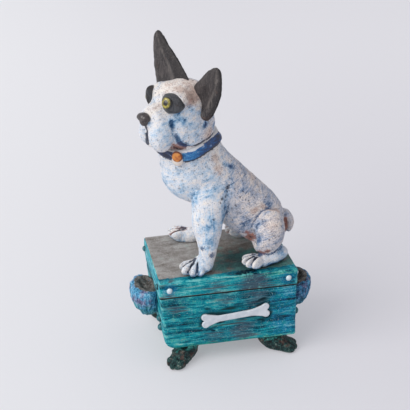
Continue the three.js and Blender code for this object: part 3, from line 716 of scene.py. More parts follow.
def bark_paint():
    """Lug paint: blue and violet dragged over dark gouges."""
    p = Paint("gouged_lug")
    drag = p.noise((3.0, 3.0, 8.0), 7.0, 0.7, 1.4)
    cloud = p.noise(8.0, 4.0, 0.6)
    grain = p.noise(1.0, 3.0, 0.7)
    # the level drops in the gouges: dark ground, darkened further as painted shade
    level = p.total(0.6, (p.mask("ridge"), 0.4), (p.mask("hollow"), -0.5))
    value = p.spread(p.total((drag, 0.7), (grain, 0.3)), 3.6, level)
    blue = p.bands(
        value,
        (0.0, 14, 20, 32), (0.28, 30, 66, 92), (0.52, 56, 120, 162), (0.75, 92, 172, 208),
        (1.0, 172, 214, 230),
    )
    violet = p.bands(value, (0.0, 24, 20, 30), (0.5, 96, 84, 122), (1.0, 172, 164, 194))
    sea = p.bands(value, (0.0, 4, 30, 38), (0.5, 16, 104, 122), (1.0, 110, 190, 200))
    earth = p.bands(value, (0.0, 34, 32, 32), (0.5, 88, 84, 80), (1.0, 140, 138, 134))
    tint = p.mix(p.ramp(p.spread(cloud, 3.0, 0.3), 0.2, 0.8), blue, violet)
    tint = p.mix(p.ramp(p.spread(cloud, 3.0, p.times(p.mask("light"), 0.8)), 0.3, 0.8), tint, sea)
    tint = p.mix(p.ramp(p.spread(cloud, 2.0, p.mask("cup")), 0.3, 0.7), tint, earth)
    roughness = p.total(0.46, (drag, 0.3))
    return p.finish(tint, roughness, p.total(drag, (grain, 0.4)), depth=0.8, strength=0.9, gloss=0.2)


def foot_paint():
    """Foot paint: green-black, rubbed back to grey on the high places, turquoise near the tray."""
    p = Paint("gnarled_foot")
    cloud = p.noise(5.0, 7.0, 0.7, 1.0)
    grain = p.noise(0.9, 3.0, 0.7)
    # darker in the hollows as painted shade, lighter on the rubbed high places
    level = p.total(0.4, (p.mask("ridge"), 0.4), (p.mask("hollow"), -0.4))
    value = p.spread(p.total((cloud, 0.6), (grain, 0.4)), 3.8, level)
    dark = p.bands(
        value,
        (0.0, 6, 10, 12), (0.3, 10, 32, 34), (0.55, 18, 60, 60), (0.78, 66, 94, 88),
        (1.0, 156, 162, 152),
    )
    sea = p.bands(value, (0.0, 4, 28, 30), (0.5, 12, 92, 90), (1.0, 90, 184, 172))
    brown = p.bands(value, (0.0, 26, 15, 14), (0.5, 74, 50, 44), (1.0, 146, 116, 104))
    tint = p.mix(p.ramp(p.spread(cloud, 3.0, p.times(p.mask("light"), 0.7)), 0.3, 0.8), dark, sea)
    tint = p.mix(p.times(p.cover(0.26, p.noise(7.0, 4.0, 0.6), 0.06), 0.8), tint, brown)
    roughness = p.total(0.36, (cloud, 0.3))
    return p.finish(tint, roughness, p.total(cloud, (grain, 0.4)), depth=0.8, strength=0.9, gloss=0.25)


def charcoal_paint(name, base, pale, shine):
    """Charcoal paint brushed lengthwise, lighter where the brush dragged."""
    p = Paint(name)
    drag = p.noise((2.6, 2.6, 10.0), 6.0, 0.68, 0.8)
    cloud = p.noise(8.0, 4.0, 0.6)
    grain = p.noise(0.9, 3.0, 0.7)
    tint = p.mix(p.ramp(drag, 0.42, 0.6), base, pale)
    # a pale streak; on the ears it runs along the fold as painted highlight
    tint = p.layer(tint, (112, 106, 102), p.times(p.mask("streak"), 0.55), drag, 0.6, 0.08)
    tint = p.layer(tint, (132, 106, 94), p.times(p.mask("rust"), 0.7), cloud, 0.7, 0.06)
    tint = p.layer(tint, (44, 42, 44), 0.25, cloud, 0.6, 0.08)
    # darker on the rolled rims; on the ears this also lays painted shade on the band turned away
    tint = p.layer(tint, (34, 33, 35), p.mask("ridge"), drag, 0.7, 0.08)
    tint = p.layer(tint, (122, 116, 114), 0.12, grain, 0.5)
    roughness = p.total(shine, (drag, 0.3))
    return p.finish(tint, roughness, p.total(drag, (grain, 0.5)), depth=0.4, strength=0.6, gloss=0.25)


def collar_paint():
    """Collar paint: blue, inked dark in places, with a pale rim."""
    p = Paint("blue_collar")
    drag = p.noise((6.0, 6.0, 1.8), 5.0, 0.66, 0.5)
    grain = p.noise(0.9, 3.0, 0.65)
    level = p.total(0.52, (p.mask("ink"), -0.42))
    value = p.spread(p.total((drag, 0.6), (grain, 0.4)), 2.6, level)
    tint = p.bands(
        value,
        (0.0, 22, 27, 48), (0.25, 34, 52, 92), (0.5, 24, 88, 150), (0.75, 42, 124, 184),
        (1.0, 140, 184, 214),
    )
    tint = p.layer(tint, (224, 222, 220), p.mask("rim"), drag, 0.85, 0.06)
    roughness = p.total(0.3, (drag, 0.25))
    return p.finish(tint, roughness, p.total(drag, (grain, 0.5)), depth=0.3, strength=0.5)


def glaze_paint(name, base, shade, rim, size, shine):
    """A small glazed piece: cloudy colour with another colour round its rim."""
    p = Paint(name)
    cloud = p.noise(size, 4.0, 0.6)
    grain = p.noise(0.6, 3.0, 0.6)
    tint = p.mix(p.ramp(cloud, 0.36, 0.64), base, shade)
    edge = p.total(p.mask("rim"), (p.plus(cloud, -0.5), 0.7))
    tint = p.mix(p.ramp(edge, 0.4, 0.7), tint, rim)
    tint = p.mix(p.times(p.ramp(grain, 0.6, 0.78), 0.35), tint, shade)
    roughness = p.total(shine, (cloud, 0.25))
    return p.finish(tint, roughness, p.total(cloud, (grain, 0.4)), depth=0.25, strength=0.5)


def iris_paint():
    """The painted eye: black pupil, olive-yellow iris with dark flecks, dark outline, clear gloss."""
    p = Paint("painted_eye")
    ring = p.total(p.mask("ring"), (p.plus(p.noise(1.2, 3.0, 0.6), -0.5), 1.2))
    cloud = p.noise(1.6, 3.0, 0.6)
    iris = p.mix(p.ramp(cloud, 0.4, 0.6), (122, 112, 38), (172, 160, 70))
    tint = p.mix(p.ramp(ring, 2.2, 1.8), iris, (48, 42, 30))
    tint = p.mix(p.ramp(ring, 1.5, 1.1), tint, (14, 13, 13))
    tint = p.mix(p.ramp(ring, 3.4, 3.9), tint, (30, 30, 30))
    p.shader.inputs["Coat Weight"].default_value = 0.35
    p.shader.inputs["Coat Roughness"].default_value = 0.1
    roughness = p.total(0.25, (cloud, 0.15))
    return p.finish(tint, roughness, cloud, depth=0.1, strength=0.3)


def bone_paint():
    """Bone paint: white, greyed in the grain."""
    p = Paint("white_bone")
    cloud = p.noise(7.0, 4.0, 0.6)
    grain = p.noise(1.0, 3.0, 0.65)
    tint = p.mix(p.ramp(cloud, 0.36, 0.66), (222, 226, 232), (204, 212, 220))
    tint = p.mix(p.times(p.ramp(grain, 0.6, 0.78), 0.3), tint, (176, 190, 200))
    # painted shade: blue-grey in the bone's hollows
    tint = p.mix(p.times(p.mask("hollow"), 0.7), tint, (120, 160, 168))
    roughness = p.total(0.5, (cloud, 0.25))
    return p.finish(tint, roughness, p.total(cloud, (grain, 0.6)), depth=0.4, strength=0.6)


def bare_clay():
    """Unpainted stoneware under the lid."""
    p = Paint("bare_clay")
    cloud = p.noise(12.0, 4.0, 0.6)
    grain = p.noise(1.0, 3.0, 0.65)
    roughness = p.total(0.66, (cloud, 0.25))
    return p.finish(clay_tint(p), roughness, p.total(cloud, (grain, 0.7)), depth=0.4, strength=0.7)


# Putting pieces in the scene


def make_piece(name, points, faces, material, body, nodes, masks):
    """Put a mesh in the scene as a smooth piece that rides on a body in place of CAD nodes."""
    mesh = bpy.data.meshes.new(name)
    mesh.from_pydata((points * MM).tolist(), [], [list(map(int, face)) for face in faces])
    mesh.polygons.foreach_set("use_smooth", [True] * len(mesh.polygons))
    for key, values in masks.items():
        mesh.attributes.new(key, "FLOAT", "POINT").data.foreach_set("value", values.astype(np.float32))
    mesh.materials.append(material)
    piece = bpy.data.objects.new(name, mesh)
    bpy.context.scene.collection.objects.link(piece)
    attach(piece, body)
    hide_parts(*nodes)


def edge_masks(skin, times, depth):
    """Masks for the hollows and the ridges of a skin: depth is the mm that counts as full."""
    # hollow marks the recesses, where the paints lay dark wash and painted shade
    hollow = skin.hollows(times) / depth
    return {"hollow": np.clip(hollow, 0, 1), "ridge": np.clip(-hollow, 0, 1)}


# Dog's body

TRUNK = Limb(
    [
        [48.5, 0, 13, 16.5, 16.5], [33.5, 0, 29, 24, 26.5], [8, 0, 58, 23.5, 25.5],
        [-18, 0, 84.5, 25, 26.5], [-26.6, 0, 106, 24, 25.8], [-27.5, 0, 124, 21, 21],
    ],
    caps=(0.12, 0.08),
    shift=DOG,
)


def drawn_in(points):
    """The trunk, drawn in on both sides of the nape."""
    x, y, z = (points - DOG).T
    nape = fade(x, -32, -8) * fade(z, 84, 100)
    return TRUNK(points) + 4.5 * nape * fade(np.abs(y), 4, 16)


torso = Shape(TRUNK.low, TRUNK.high, drawn_in)


def collar_height(points):
    """Height above the collar's middle line, which arches a little over the shoulders."""
    x, _, z = ((points - COLLAR_CENTRE) @ turned((COLLAR_ROLL, -COLLAR_TILT, 0))).T
    return z - 1.3 * np.exp(-(((x - 9) / 12) ** 2))


TOES = (-1.5, -0.5, 0.5, 1.5)
TOE_SPACING = 2.2
TOE_HALF_LENGTH = 11
TOE_HALF_HEIGHT = 5.4
TOE_TILT = 14
TOE_SETBACK = 1.6
TOE_CUT = ((-8, 6, 0.3, 1), (-1, 3.8, 0.6, 2), (5, 1, 0.9, 3), (9, -3, 1, 4))


def directions(degrees):
    """Unit vectors forward and to the left of a heading on the lid."""
    angle = math.radians(degrees)
    forward = np.array([math.cos(angle), math.sin(angle), 0])
    lateral = np.array([-math.sin(angle), math.cos(angle), 0])
    return forward, lateral


def add_toes(clay, cuts, centre, reach, heading, fan, wide):
    """Four long toes side by side at the front of a paw, parted by knife cuts."""
    centre = DOG + np.array(centre, float)
    for toe in TOES:
        forward, lateral = directions(heading + fan * toe)
        place = centre + forward * (reach - 2 - TOE_SETBACK * abs(toe)) + lateral * TOE_SPACING * toe
        radii = [TOE_HALF_LENGTH, wide, TOE_HALF_HEIGHT]
        clay.add(Ball(place - [0, 0, 0.8], radii, [0, TOE_TILT, heading + fan * toe]), 0.7)
    for gap in (-1, 0, 1):
        forward, lateral = directions(heading + fan * gap)
        start = centre + lateral * TOE_SPACING * gap
        path = [start + forward * (reach + out) + [0, 0, up] for out, up, _, _ in TOE_CUT]
        stations = [[*point, half, tall] for point, (_, _, half, tall) in zip(path, TOE_CUT)]
        clay.carve(Limb(stations, across=lateral, caps=(0.1, 0.05)), 0.6)
        cuts.append(path)


BELLY_LINE = ((-24, 26), (-10, 20), (4, 10), (17, 2), (28, -9))
BELLY_HALF_WIDTH = 45
BELLY_HALF_DEPTH = 18


def dog_body():
    """Trunk, legs, paws and tail, modelled as one lump."""
    cuts = []
    clay = Clay([-56, -48, 84.6], [70, 48, 216], step=0.85)
    clay.add(torso, 1.0)
    clay.add(Ball(DOG + [-22.5, 0, 82], [26, 23, 27], [0, 18, 0]), 6)
    clay.add(Ball(DOG + [40.5, 0, 15], [17, 24, 15.5]), 5)
    belly = [[x, 0, z, BELLY_HALF_WIDTH, BELLY_HALF_DEPTH] for x, z in BELLY_LINE]
    clay.carve(Limb(belly, caps=(0.05, 0.05), shift=DOG), 4)
    tail = [[49, 1, 25, 5.5, 5], [58.5, 2, 31.5, 5, 4], [64.5, 2, 24, 4.8, 3.6], [63.5, 1, 12.5, 4.2, 3.2]]
    clay.add(Limb(tail, caps=(0.2, 0.25), shift=DOG), 0.9)
    tail_hollow = DOG + [58.3, -0.5, 21]
    # a lump of clay fills the gap between tail and rump; it is painted rust-brown as painted shadow
    clay.add(Ball(tail_hollow + [0.2, 3.5, -0.5], [5, 4, 10.5]), 0.9)
    for side in (LEFT, RIGHT):
        back = 0 if side == LEFT else 9
        leg = [
            [-10 + back, 15 * side, 82, 9, 14], [-12.5 + back, 20 * side, 62, 12.5, 15],
            [-15 + back, 24 * side, 42, 11.6, 13.2], [-15.5 + back, 26.5 * side, 25, 9.2, 9.2],
            [-16.5 + back, 27.5 * side, 13, 7.8, 6.8], [-20 + back, 28.5 * side, 2, 7.8, 7],
        ]
        clay.add(Limb(leg, caps=(0.22, 0.08), shift=DOG), 3)
        pad = DOG + [-23 + back / 2, 28.8 * side, 5]
        clay.add(Ball(pad, [9.5 + back / 2, 8.4, 7]), 4)
        if side == LEFT:
            add_toes(clay, cuts, [-26.5, -28.8, 5.4], 7.2, 230, 24, 3.9)
        else:
            add_toes(clay, cuts, [-24, 30, 6], 8, 166, 15, 3.3)
        thigh = Ball(DOG + [36.6, 25 * side, 29], [14.6, 13, 20], [6 * side, 12, 10 * side])
        clay.add(thigh, 1.6)
        shank = [
            [54.5, 19 * side, 7, 6, 6.5], [44, 27 * side, 7, 6.5, 6.5],
            [34, (30 if side == LEFT else 26.5) * side, 6, 6.4, 6.2],
            [28, (31.5 if side == LEFT else 25.5) * side, 6, 6.6, 6.4],
        ]
        clay.add(Limb(shank, across=(0, 0, 1), caps=(0.16, 0.2), shift=DOG), 1.4)
        if side == LEFT:
            add_toes(clay, cuts, [26, -32, 7], 6, 202, 15, 3.1)
        else:
            add_toes(clay, cuts, [25.5, 25, 7], 6, 170, 15, 3.1)
        clay.carve(Ball([23, 27 * side, 109], [7, 5, 9], [0, 20, 0]), 3)
    clay.keep(LID_TOP - clay.grid(2))
    skin = Skin(clay)
    upright = fade(skin.points[:, 2], LID_TOP + 1, LID_TOP + 4)
    wobble = 0.5 * lumps(skin.points, 9, 1) + 0.3 * lumps(skin.points, 3.0, 2)
    skin.push(wobble * upright)
    near = both_sides(skin.points)
    crease = [(3.3, -23, 161), (1.2, -25, 153), (-1, -28, 143), (-1.6, -28, 124)]
    crease_depth = fade(from_line(near, crease), 4.5, 0.4)
    skin.push(-0.7 * crease_depth)
    near = both_sides(skin.points)
    masks = edge_masks(skin, times=14, depth=0.8)
    # painted shade: the broad hollows of the body are darkened like shade, on top of the narrow ones
    broad = np.clip(skin.hollows(50) / 2.2, 0, 1)
    masks["hollow"] = np.clip(0.95 * masks["hollow"] + 0.5 * broad, 0, 1.0)
    masks["blue"] = dabs(
        near,
        [
            (-40, -17, 166, 12, 0.35), (-28, -24, 175, 10, 0.3), (-36, -18, 158, 10, 0.4),
            (-26, -23, 152, 9, 0.5), (-14, -27, 158, 7, 0.65), (-16, -35, 127, 11, 0.6),
            (-18, -35, 114, 9, 0.7), (6.6, -15, 173, 8, 0.45), (14, -17, 162, 7, 0.4),
            (16, -19, 156, 8, 0.4), (39, -16, 138, 8, 0.5), (30, -28, 125, 6, 0.6),
            (30, -35, 111, 6, 0.7), (17, -23, 121, 7, 0.5), (48, -30, 97, 8, 0.4),
            (-26, -38, 91, 7, 0.4), (-45, -5, 150, 16, 0.4), (-8, -23, 170, 13, 0.4),
            (0, -23, 150, 9, 0.35),
        ],
    )
    masks["leg"] = fade(skin.points[:, 2], 158, 140) * fade(skin.points[:, 0], 14, 2)
    rear = fade(skin.points[:, 0], -8, 14)
    masks["warm"] = np.clip(0.05 + 0.7 * rear * fade(skin.points[:, 2], 90, 108), 0, 1)
    thigh_top = from_line(near, [(24, -23, 134), (32, -19, 136), (41, -23, 134), (48, -13, 126)])
    pinks = [(-6, -18, 183, 6, 0.8), (-5, -22, 174, 7, 0.7), (27, -6, 158, 8, 0.5), (38, -34, 125, 9, 0.5)]
    pinks += [(-43, -31, 88, 4, 0.6), (10, -38, 88, 4, 0.6)]
    masks["pink"] = np.maximum(dabs(near, pinks), 0.7 * fade(thigh_top, 4.5, 1))
    # rust-brown dabs at the groin and under the chin; under the chin they are also painted shadow
    rust_and_shade_dabs = [
        (19.6, -22, 114, 3.5, 0.6), (23, -21.6, 108.8, 5, 1.0), (30.6, -31, 99.6, 4, 1.0),
        (34.8, -35, 101, 3.5, 0.9), (-38, -20.5, 198, 8, 0.85), (-29, -22, 200, 6, 0.6),
    ]
    tail_inside = np.linalg.norm((skin.points - tail_hollow) / [3.4, 6, 10], axis=1)
    tips = fade(skin.points[:, 2], 92, 87) * fade(near[:, 1], -22, -27)
    # painted shade: blue laid broadly along the leg crease
    by_crease = 0.6 * fade(from_line(near, crease), 10, 2)
    masks["blue"] = np.max([masks["blue"], 0.95 * tips, by_crease], axis=0)
    between_toes = np.min([from_line(skin.points, cut) for cut in cuts], axis=0)
    far_toes = 0.5 * fade(between_toes, 3.4, 1.2) * (skin.points[:, 1] > 0)
    # painted shadow: the rust-brown inside the tail's curve stands for the shadow in the gap between tail and
    # rump
    masks["rust"] = np.max([0.9 * fade(tail_inside, 1.5, 0.7), dabs(near, rust_and_shade_dabs), far_toes], axis=0)
    # dark blue dabs: marks at the wrist, and painted shade under the belly and where the near toes meet the
    # lid
    wash_and_shade_dabs = [
        (-22.2, -33.3, 108.7, 2.8, 0.75), (-13.6, -35.4, 102.5, 3.4, 0.75), (17, -23, 121, 6, 0.4),
        (-36, -35, 90.5, 4, 0.8), (-30.5, -39, 90, 4, 0.8), (12, -22, 112, 7, 0.5),
        (22, -20, 128, 4, 0.5),
    ]
    masks["hollow"] = np.maximum(masks["hollow"] * fade(tail_inside, 0.9, 1.4), dabs(near, wash_and_shade_dabs))
    # painted shade: dark spots along the leg crease and under the chin
    shade_spots = [
        (-4, -29, 150.8, 2, 0.8), (-5.8, -31, 148.4, 1.6, 0.6), (-12, -34.6, 136, 1.6, 0.6),
        (2, -23, 158, 3, 0.7), (-38, -21, 199, 6, 0.9), (-1.6, -28, 126, 3, 0.6),
    ]
    broken = 0.45 + 0.5 * lumps(skin.points, 5, 21)
    below = collar_height(skin.points) + COLLAR_HALF
    under_collar = fade(np.abs(below + 0.8), 2.2, 0.6) * (skin.points[:, 2] > 170)
    # dark lines: painted shade in the leg crease, between the toes and under the collar
    ink_and_shade_lines = [
        np.clip(broken - 0.1, 0, 0.5) * fade(from_line(near, crease), 4, 0.2),
        dabs(near, shade_spots),
        np.clip(broken + 0.2, 0, 0.9) * fade(between_toes, 1.9, 0.8),
        0.8 * under_collar,
    ]
    masks["ink"] = np.max(ink_and_shade_lines, axis=0)
    nodes = ["dog_torso", "dog_tail"]
    for name in SIDE_NAMES.values():
        nodes += [f"dog_front_{name}_leg", f"dog_front_{name}_paw"]
        nodes += [f"dog_hind_{name}_thigh", f"dog_hind_{name}_foot"]
    make_piece("dog_body_skin", skin.points, skin.faces, PAINTED_DOG, "lid", nodes, masks)


# Dog's head, in a frame of its own: forward is -X, the dog's left is -Y

HEAD_MATRIX = turned((0, 0, HEAD_TURN))
CHEEK_FOLD = [(-27.5, 16.5, -14), (-26.5, 18.5, -23), (-21.5, 18, -33), (-14, 20, -38), (-3, 21, -43)]


def head_to_row(points):
    """Points of the head's own frame in the frame of the part."""
    return points @ HEAD_MATRIX.T + HEAD


def dog_head():
    """Skull, cheeks, jowls and chin, modelled as one lump."""
    clay = Clay([-50, -32, -50], [26, 32, 16], step=0.62)
    clay.add(Ball([-3, 0, -10], [25, 21.5, 21]), 1)
    for side in (LEFT, RIGHT):
        clay.add(Ball([-3, 11 * side, -25], [22.5, 12.8, 18.5]), 4)
        clay.add(Ball([-13, 12.5 * side, -21], [13, 8.6, 14]), 4)
        clay.add(Ball([-4, 11 * side, -31.5], [20, 11, 11.5]), 4)
    muzzle = [[-14, 0, -12, 17, 16], [-27, 0, -17, 15.5, 14.5], [-40.5, 0, -20.5, 12.5, 12.5]]
    clay.add(Limb(muzzle, caps=(0.1, 0.3)), 4)
    for side in (LEFT, RIGHT):
        clay.add(Ball([-17, 12 * side, 1.5], [9, 7.5, 6]), 7)
        full = 1 if side == LEFT else 0.86
        jowl = np.array([11.6, 10, 16]) * full
        clay.add(Ball([-30.5, 7.4 * side * full, -25], jowl, [8 * side, 12, -8 * side]), 1.6)
    clay.add(Ball([-33.5, 0, -33], [6.6, 6.5, 5.6]), 1.5)
    for side in (LEFT, RIGHT):
        fold = [[x, y * side, z, 1.5, 1.5] for x, y, z in CHEEK_FOLD]
        clay.carve(Limb(fold), 1.6)
    lips = [[-45, 0, -16, 0.9, 1.6], [-42, 0, -22, 0.9, 1.8], [-40.5, 0, -28, 1, 2], [-39, 0, -32, 2, 2.6]]
    clay.carve(Limb(lips, caps=(0.1, 0.2)), 1.0)
    skin = Skin(clay)
    skin.push(0.4 * lumps(skin.points, 7, 3) + 0.24 * lumps(skin.points, 2.6, 4))
    _, lateral, height = skin.points.T
    lip = np.hypot(lateral, np.maximum(0, np.maximum(height + 15, -33 - height)))
    lip = np.where(skin.points[:, 0] < -30, lip - 1.3 * fade(height, -24, -28), 30)
    near = both_sides(skin.points)
    points = head_to_row(skin.points)
    masks = edge_masks(skin, times=16, depth=0.8)
    # painted shade: the broad hollows of the head are darkened like shade
    broad = np.clip(skin.hollows(60) / 2.4, 0, 1)
    masks["hollow"] = np.clip(0.6 * masks["hollow"] + 0.5 * broad, 0, 1)
    fold_line = from_line(near, [(x, -y, z) for x, y, z in CHEEK_FOLD])
    blues = dabs(
        points,
        [
            (-39.5, -23.5, 225, 6, 0.75), (-34, -23, 220, 8, 0.6), (-29.6, -25.4, 212, 9, 0.45),
            (-26.5, -22, 229, 5, 0.65), (-21, -20, 222, 5, 0.85), (-16, -20, 214, 3, 1.3),
            (-52, -29, 218, 6, 0.35), (-48, -31, 209, 7, 0.6), (-58, -29, 211, 6, 0.4),
            (-62, -24, 219, 2.6, 1.2), (-60, 5, 214, 12, 0.5), (-25, 24, 215, 14, 0.6),
            (-20, -21, 203, 9, 0.35), (-8, -12, 205, 9, 0.4),
        ],
    )
    # blue along the cheek fold, partly painted shade in the fold
    masks["blue"] = np.maximum(blues, 0.7 * fade(fold_line, 5, 1))
    masks["warm"] = np.clip(0.05 + 0.4 * fade(skin.points[:, 0], -14, 8), 0, 1)
    masks["pink"] = dabs(
        points,
        [
            (-35.5, -16, 241, 8, 0.9), (-28, -19, 237, 8, 1.3), (-22, -16, 240, 9, 1.0),
            (-40, -5, 244, 11, 0.55), (-26, -8, 244, 12, 0.7), (-13, -17, 205, 8, 0.7),
            (-55, -19, 232, 9, 0.5), (-46, -12, 241, 9, 0.5),
        ],
    )
    # rust-brown by the eye patch, and under the chin, where it is also painted shadow of the jaw
    masks["rust"] = dabs(points, [(-30, -20.5, 236, 4, 0.4), (-38, -20, 198, 9, 0.85)])
    # painted shade: a dark line above the collar where the cheek meets it, and dark in the cheek fold; the
    # lip line is the mouth
    above = collar_height(points) - COLLAR_HALF
    seam = 0.7 * fade(np.abs(above - 0.8), 2.4, 0.8) * fade(skin.points[:, 0], -20, -8)
    ragged = 0.85 + 0.4 * lumps(skin.points, 4, 24)
    masks["hollow"] = np.maximum(masks["hollow"], ragged * fade(fold_line, 3.4, 0.6))
    masks["ink"] = np.max([fade(lip, 1.8, 0.9), 0.35 * ragged * fade(fold_line, 2.2, 0.4), seam], axis=0)
    nodes = ["dog_head", "dog_chin", "dog_left_jowl", "dog_right_jowl"]
    make_piece("dog_head_skin", points, skin.faces, PAINTED_DOG, "lid", nodes, masks)


EARS = {
    LEFT: [[13, -12, 13.5], [22.5, -1, 14.5], [30, 11, 12], [34.2, 22, 7.5], [35, 28, 2.8]],
    RIGHT: [[11, -8, 24], [22, 9.5, 19.5], [31, 25, 12.5], [36.5, 36.5, 6.5], [38, 42, 2]],
}


def dog_ear(side, outline):
    """An ear, hollowed in front, with a pale streak along its fold as painted highlight and painted shade on
    the band beyond it.
    """
    stations = []
    for i, (lateral, height, wide) in enumerate(outline):
        stations.append([0.6 * i, lateral * side, height, wide, 4.4 - 0.5 * i])
    along = np.array(outline[2][:2], float) - outline[0][:2]
    along /= np.linalg.norm(along)
    lean = math.degrees(math.atan2(along[0], along[1]))
    ear = Limb(stations, across=(0, along[1] * side, -along[0]), caps=(0.12, 0.12))
    clay = Clay(ear.low - 3, ear.high + 3, step=0.6)
    clay.add(ear, 1)
    lateral, height, wide = outline[1]
    hollow = [-8.6, lateral * side * 1.12, height * 1.15 + 2]
    clay.carve(Ball(hollow, [8.2, 0.74 * wide, 21], [-lean * side, 0, 0]), 1.4)
    skin = Skin(clay)
    skin.push(0.35 * lumps(skin.points, 6, 5) + 0.2 * lumps(skin.points, 2.4, 6))
    masks = edge_masks(skin, times=20, depth=0.8)
    across, width = ear.crosswise(skin.points)
    outward = across / width
    # a pale streak along the ear's fold as painted highlight
    streak = 0.55 if side == LEFT else -0.3
    masks["streak"] = fade(np.abs(outward - streak), 0.3, 0.05)
    # painted shade on the band of the ear turned away, beyond the fold
    dark = fade(outward, 0.72, 0.9) if side == LEFT else fade(outward, -0.4, -0.6)
    masks["ridge"] = np.maximum(0.6 * masks["ridge"], 0.8 * dark)
    masks["rust"] = 0.8 * fade(skin.points[:, 2], outline[0][1] + 4, outline[0][1] - 6)
    name = SIDE_NAMES[side]
    points = head_to_row(skin.points)
    make_piece(f"ear_{name}", points, skin.faces, CHARCOAL, "lid", [f"dog_{name}_ear"], masks)


def dog_eye(side, name):
    """A raised patch with an eye set in it."""
    out = side * (1 if side == LEFT else 0.95)
    slim = 1 if side == LEFT else 0.42
    patch = Limb(
        [
            [-15.5, 18.6 * out, -3.6, 1.2, 1.8], [-20, 16.6 * out, -2.4, 4.6 * slim, 6.2],
            [-26, 12.8 * out, -0.4, 6.4 * slim, 8.2], [-31.6, 10 * out, -0.8, 5.6 * slim, 7.2],
        ],
        caps=(0.1, 0.24),
    )
    clay = Clay(patch.low - 3, patch.high + 3, step=0.5)
    clay.add(patch, 1)
    skin = Skin(clay)
    skin.push(0.2 * lumps(skin.points, 4, 7))
    masks = edge_masks(skin, times=16, depth=0.6)
    masks["streak"] = np.zeros(len(skin.points))
    masks["rust"] = np.zeros(len(skin.points))
    points = head_to_row(skin.points)
    nodes = [f"dog_{name}_eye_patch"]
    make_piece(f"eye_patch_{name}", points, skin.faces, EYE_PATCH, "lid", nodes, masks)
    gaze = np.array([-0.88, -0.36, 0.3]) if side == LEFT else np.array([-0.62, 0.76, 0.2])
    eyeball(name, seated(patch, np.array([-26, 13.2 * out, 0]), gaze), gaze)


def seated(form, start, way):
    """The point where a line from inside a form comes out of it."""
    steps = start + np.outer(np.linspace(0, 20, 400), way / np.linalg.norm(way))
    return steps[np.argmax(form(steps) > 0)]


EYE_TURNS = 48


def eyeball(name, centre, gaze):
    """A low glossy dome: rings about the line of sight, closed behind."""
    gaze = gaze / np.linalg.norm(gaze)
    across = np.cross(gaze, [0, 0, 1])
    across /= np.linalg.norm(across)
    upward = np.cross(across, gaze)
    centre = centre - 0.7 * gaze
    profile = [(0.5, 1.9), (1.0, 1.84), (1.5, 1.72), (1.9, 1.66), (2.4, 1.62), (2.9, 1.42)]
    profile += [(3.4, 1.12), (3.9, 0.7), (4.3, 0.1), (4.4, -0.6), (4.2, -2.4)]
    points = [centre + gaze * 1.92]
    rings = [0.0]
    for radius, height in profile:
        for k in range(EYE_TURNS):
            angle = 2 * math.pi * k / EYE_TURNS
            points.append(
                centre + gaze * height + radius * (math.cos(angle) * across + 1.12 * math.sin(angle) * upward)
            )
            rings.append(radius)
    points.append(centre - gaze * 2.4)
    rings.append(4.4)
    faces = [(0, 1 + k, 1 + (k + 1) % EYE_TURNS) for k in range(EYE_TURNS)]
    for ring in range(len(profile) - 1):
        a, b = 1 + ring * EYE_TURNS, 1 + (ring + 1) * EYE_TURNS
        faces += [(a + k, b + k, b + (k + 1) % EYE_TURNS, a + (k + 1) % EYE_TURNS) for k in range(EYE_TURNS)]
    last = 1 + (len(profile) - 1) * EYE_TURNS
    faces += [(len(points) - 1, last + (k + 1) % EYE_TURNS, last + k) for k in range(EYE_TURNS)]
    row = head_to_row(np.array(points))
    make_piece(f"eye_{name}", row, faces, IRIS, "lid", [f"dog_{name}_eye"], {"ring": np.array(rings)})


def dog_nose():
    """The nose, with nostrils and the groove below it."""
    centre = np.array([-42, 0, -12.6])
    clay = Clay(centre - 10, centre + 10, step=0.4)
    clay.add(Ball(centre + [0, 0, 0.8], [4.4, 5.8, 3.9]), 1)
    clay.add(Ball(centre + [0.4, 0, -3], [3.8, 3.2, 3.4]), 2)
    for side in (LEFT, RIGHT):
        clay.add(Ball(centre + [-0.6, 3.8 * side, 0.2], [3.1, 2.5, 2.8]), 1.5)
        clay.carve(Ball(centre + [-4, 3.2 * side, -1.6], [2.8, 1.5, 1.3], [20 * side, 0, 30 * side]), 0.6)
    clay.carve(Limb([[-47.5, 0, -10, 0.5, 0.8], [-46.6, 0, -14, 0.6, 0.9], [-45, 0, -18, 0.6, 0.9]]), 0.5)
    skin = Skin(clay)
    skin.push(0.15 * lumps(skin.points, 3, 8))
    masks = edge_masks(skin, times=20, depth=0.6)
    # painted shade: the dark rim colour is laid in the nostrils and other hollows
    masks["rim"] = masks["hollow"]
    points = head_to_row(skin.points)
    make_piece("nose", points, skin.faces, NOSE, "lid", ["dog_nose"], masks)


def dog_collar():
    """A flat band of clay round the neck."""
    def band(points):
        neck = torso(points)
        height = np.abs(collar_height(points)) - COLLAR_HALF
        return np.maximum(rounded([neck - 2.4, height], COLLAR_EDGE), -(neck + 0.8))

    low, high = COLLAR_CENTRE - [34, 32, 14], COLLAR_CENTRE + [34, 32, 14]
    clay = Clay(low, high, step=0.6)
    clay.add(Shape(low + 1, high - 1, band), 0.01)
    skin = Skin(clay, rounds=3)
    skin.push(0.2 * lumps(skin.points, 5, 9))
    masks = edge_masks(skin, times=16, depth=0.5)
    away = skin.points - COLLAR_CENTRE
    bearing = np.degrees(np.arctan2(-away[:, 1], -away[:, 0]))
    bright = 0.45 * fade(np.abs(bearing - 76), 30, 12)
    masks["ink"] = np.maximum(fade(bearing, 56, 46), 0.6 * fade(bearing, 95, 150)) - bright
    masks["rim"] = 0.9 * fade(collar_height(skin.points), COLLAR_HALF - 1.6, COLLAR_HALF - 0.8)
    make_piece("collar_band", skin.points, skin.faces, COLLAR, "lid", ["dog_collar"], masks)


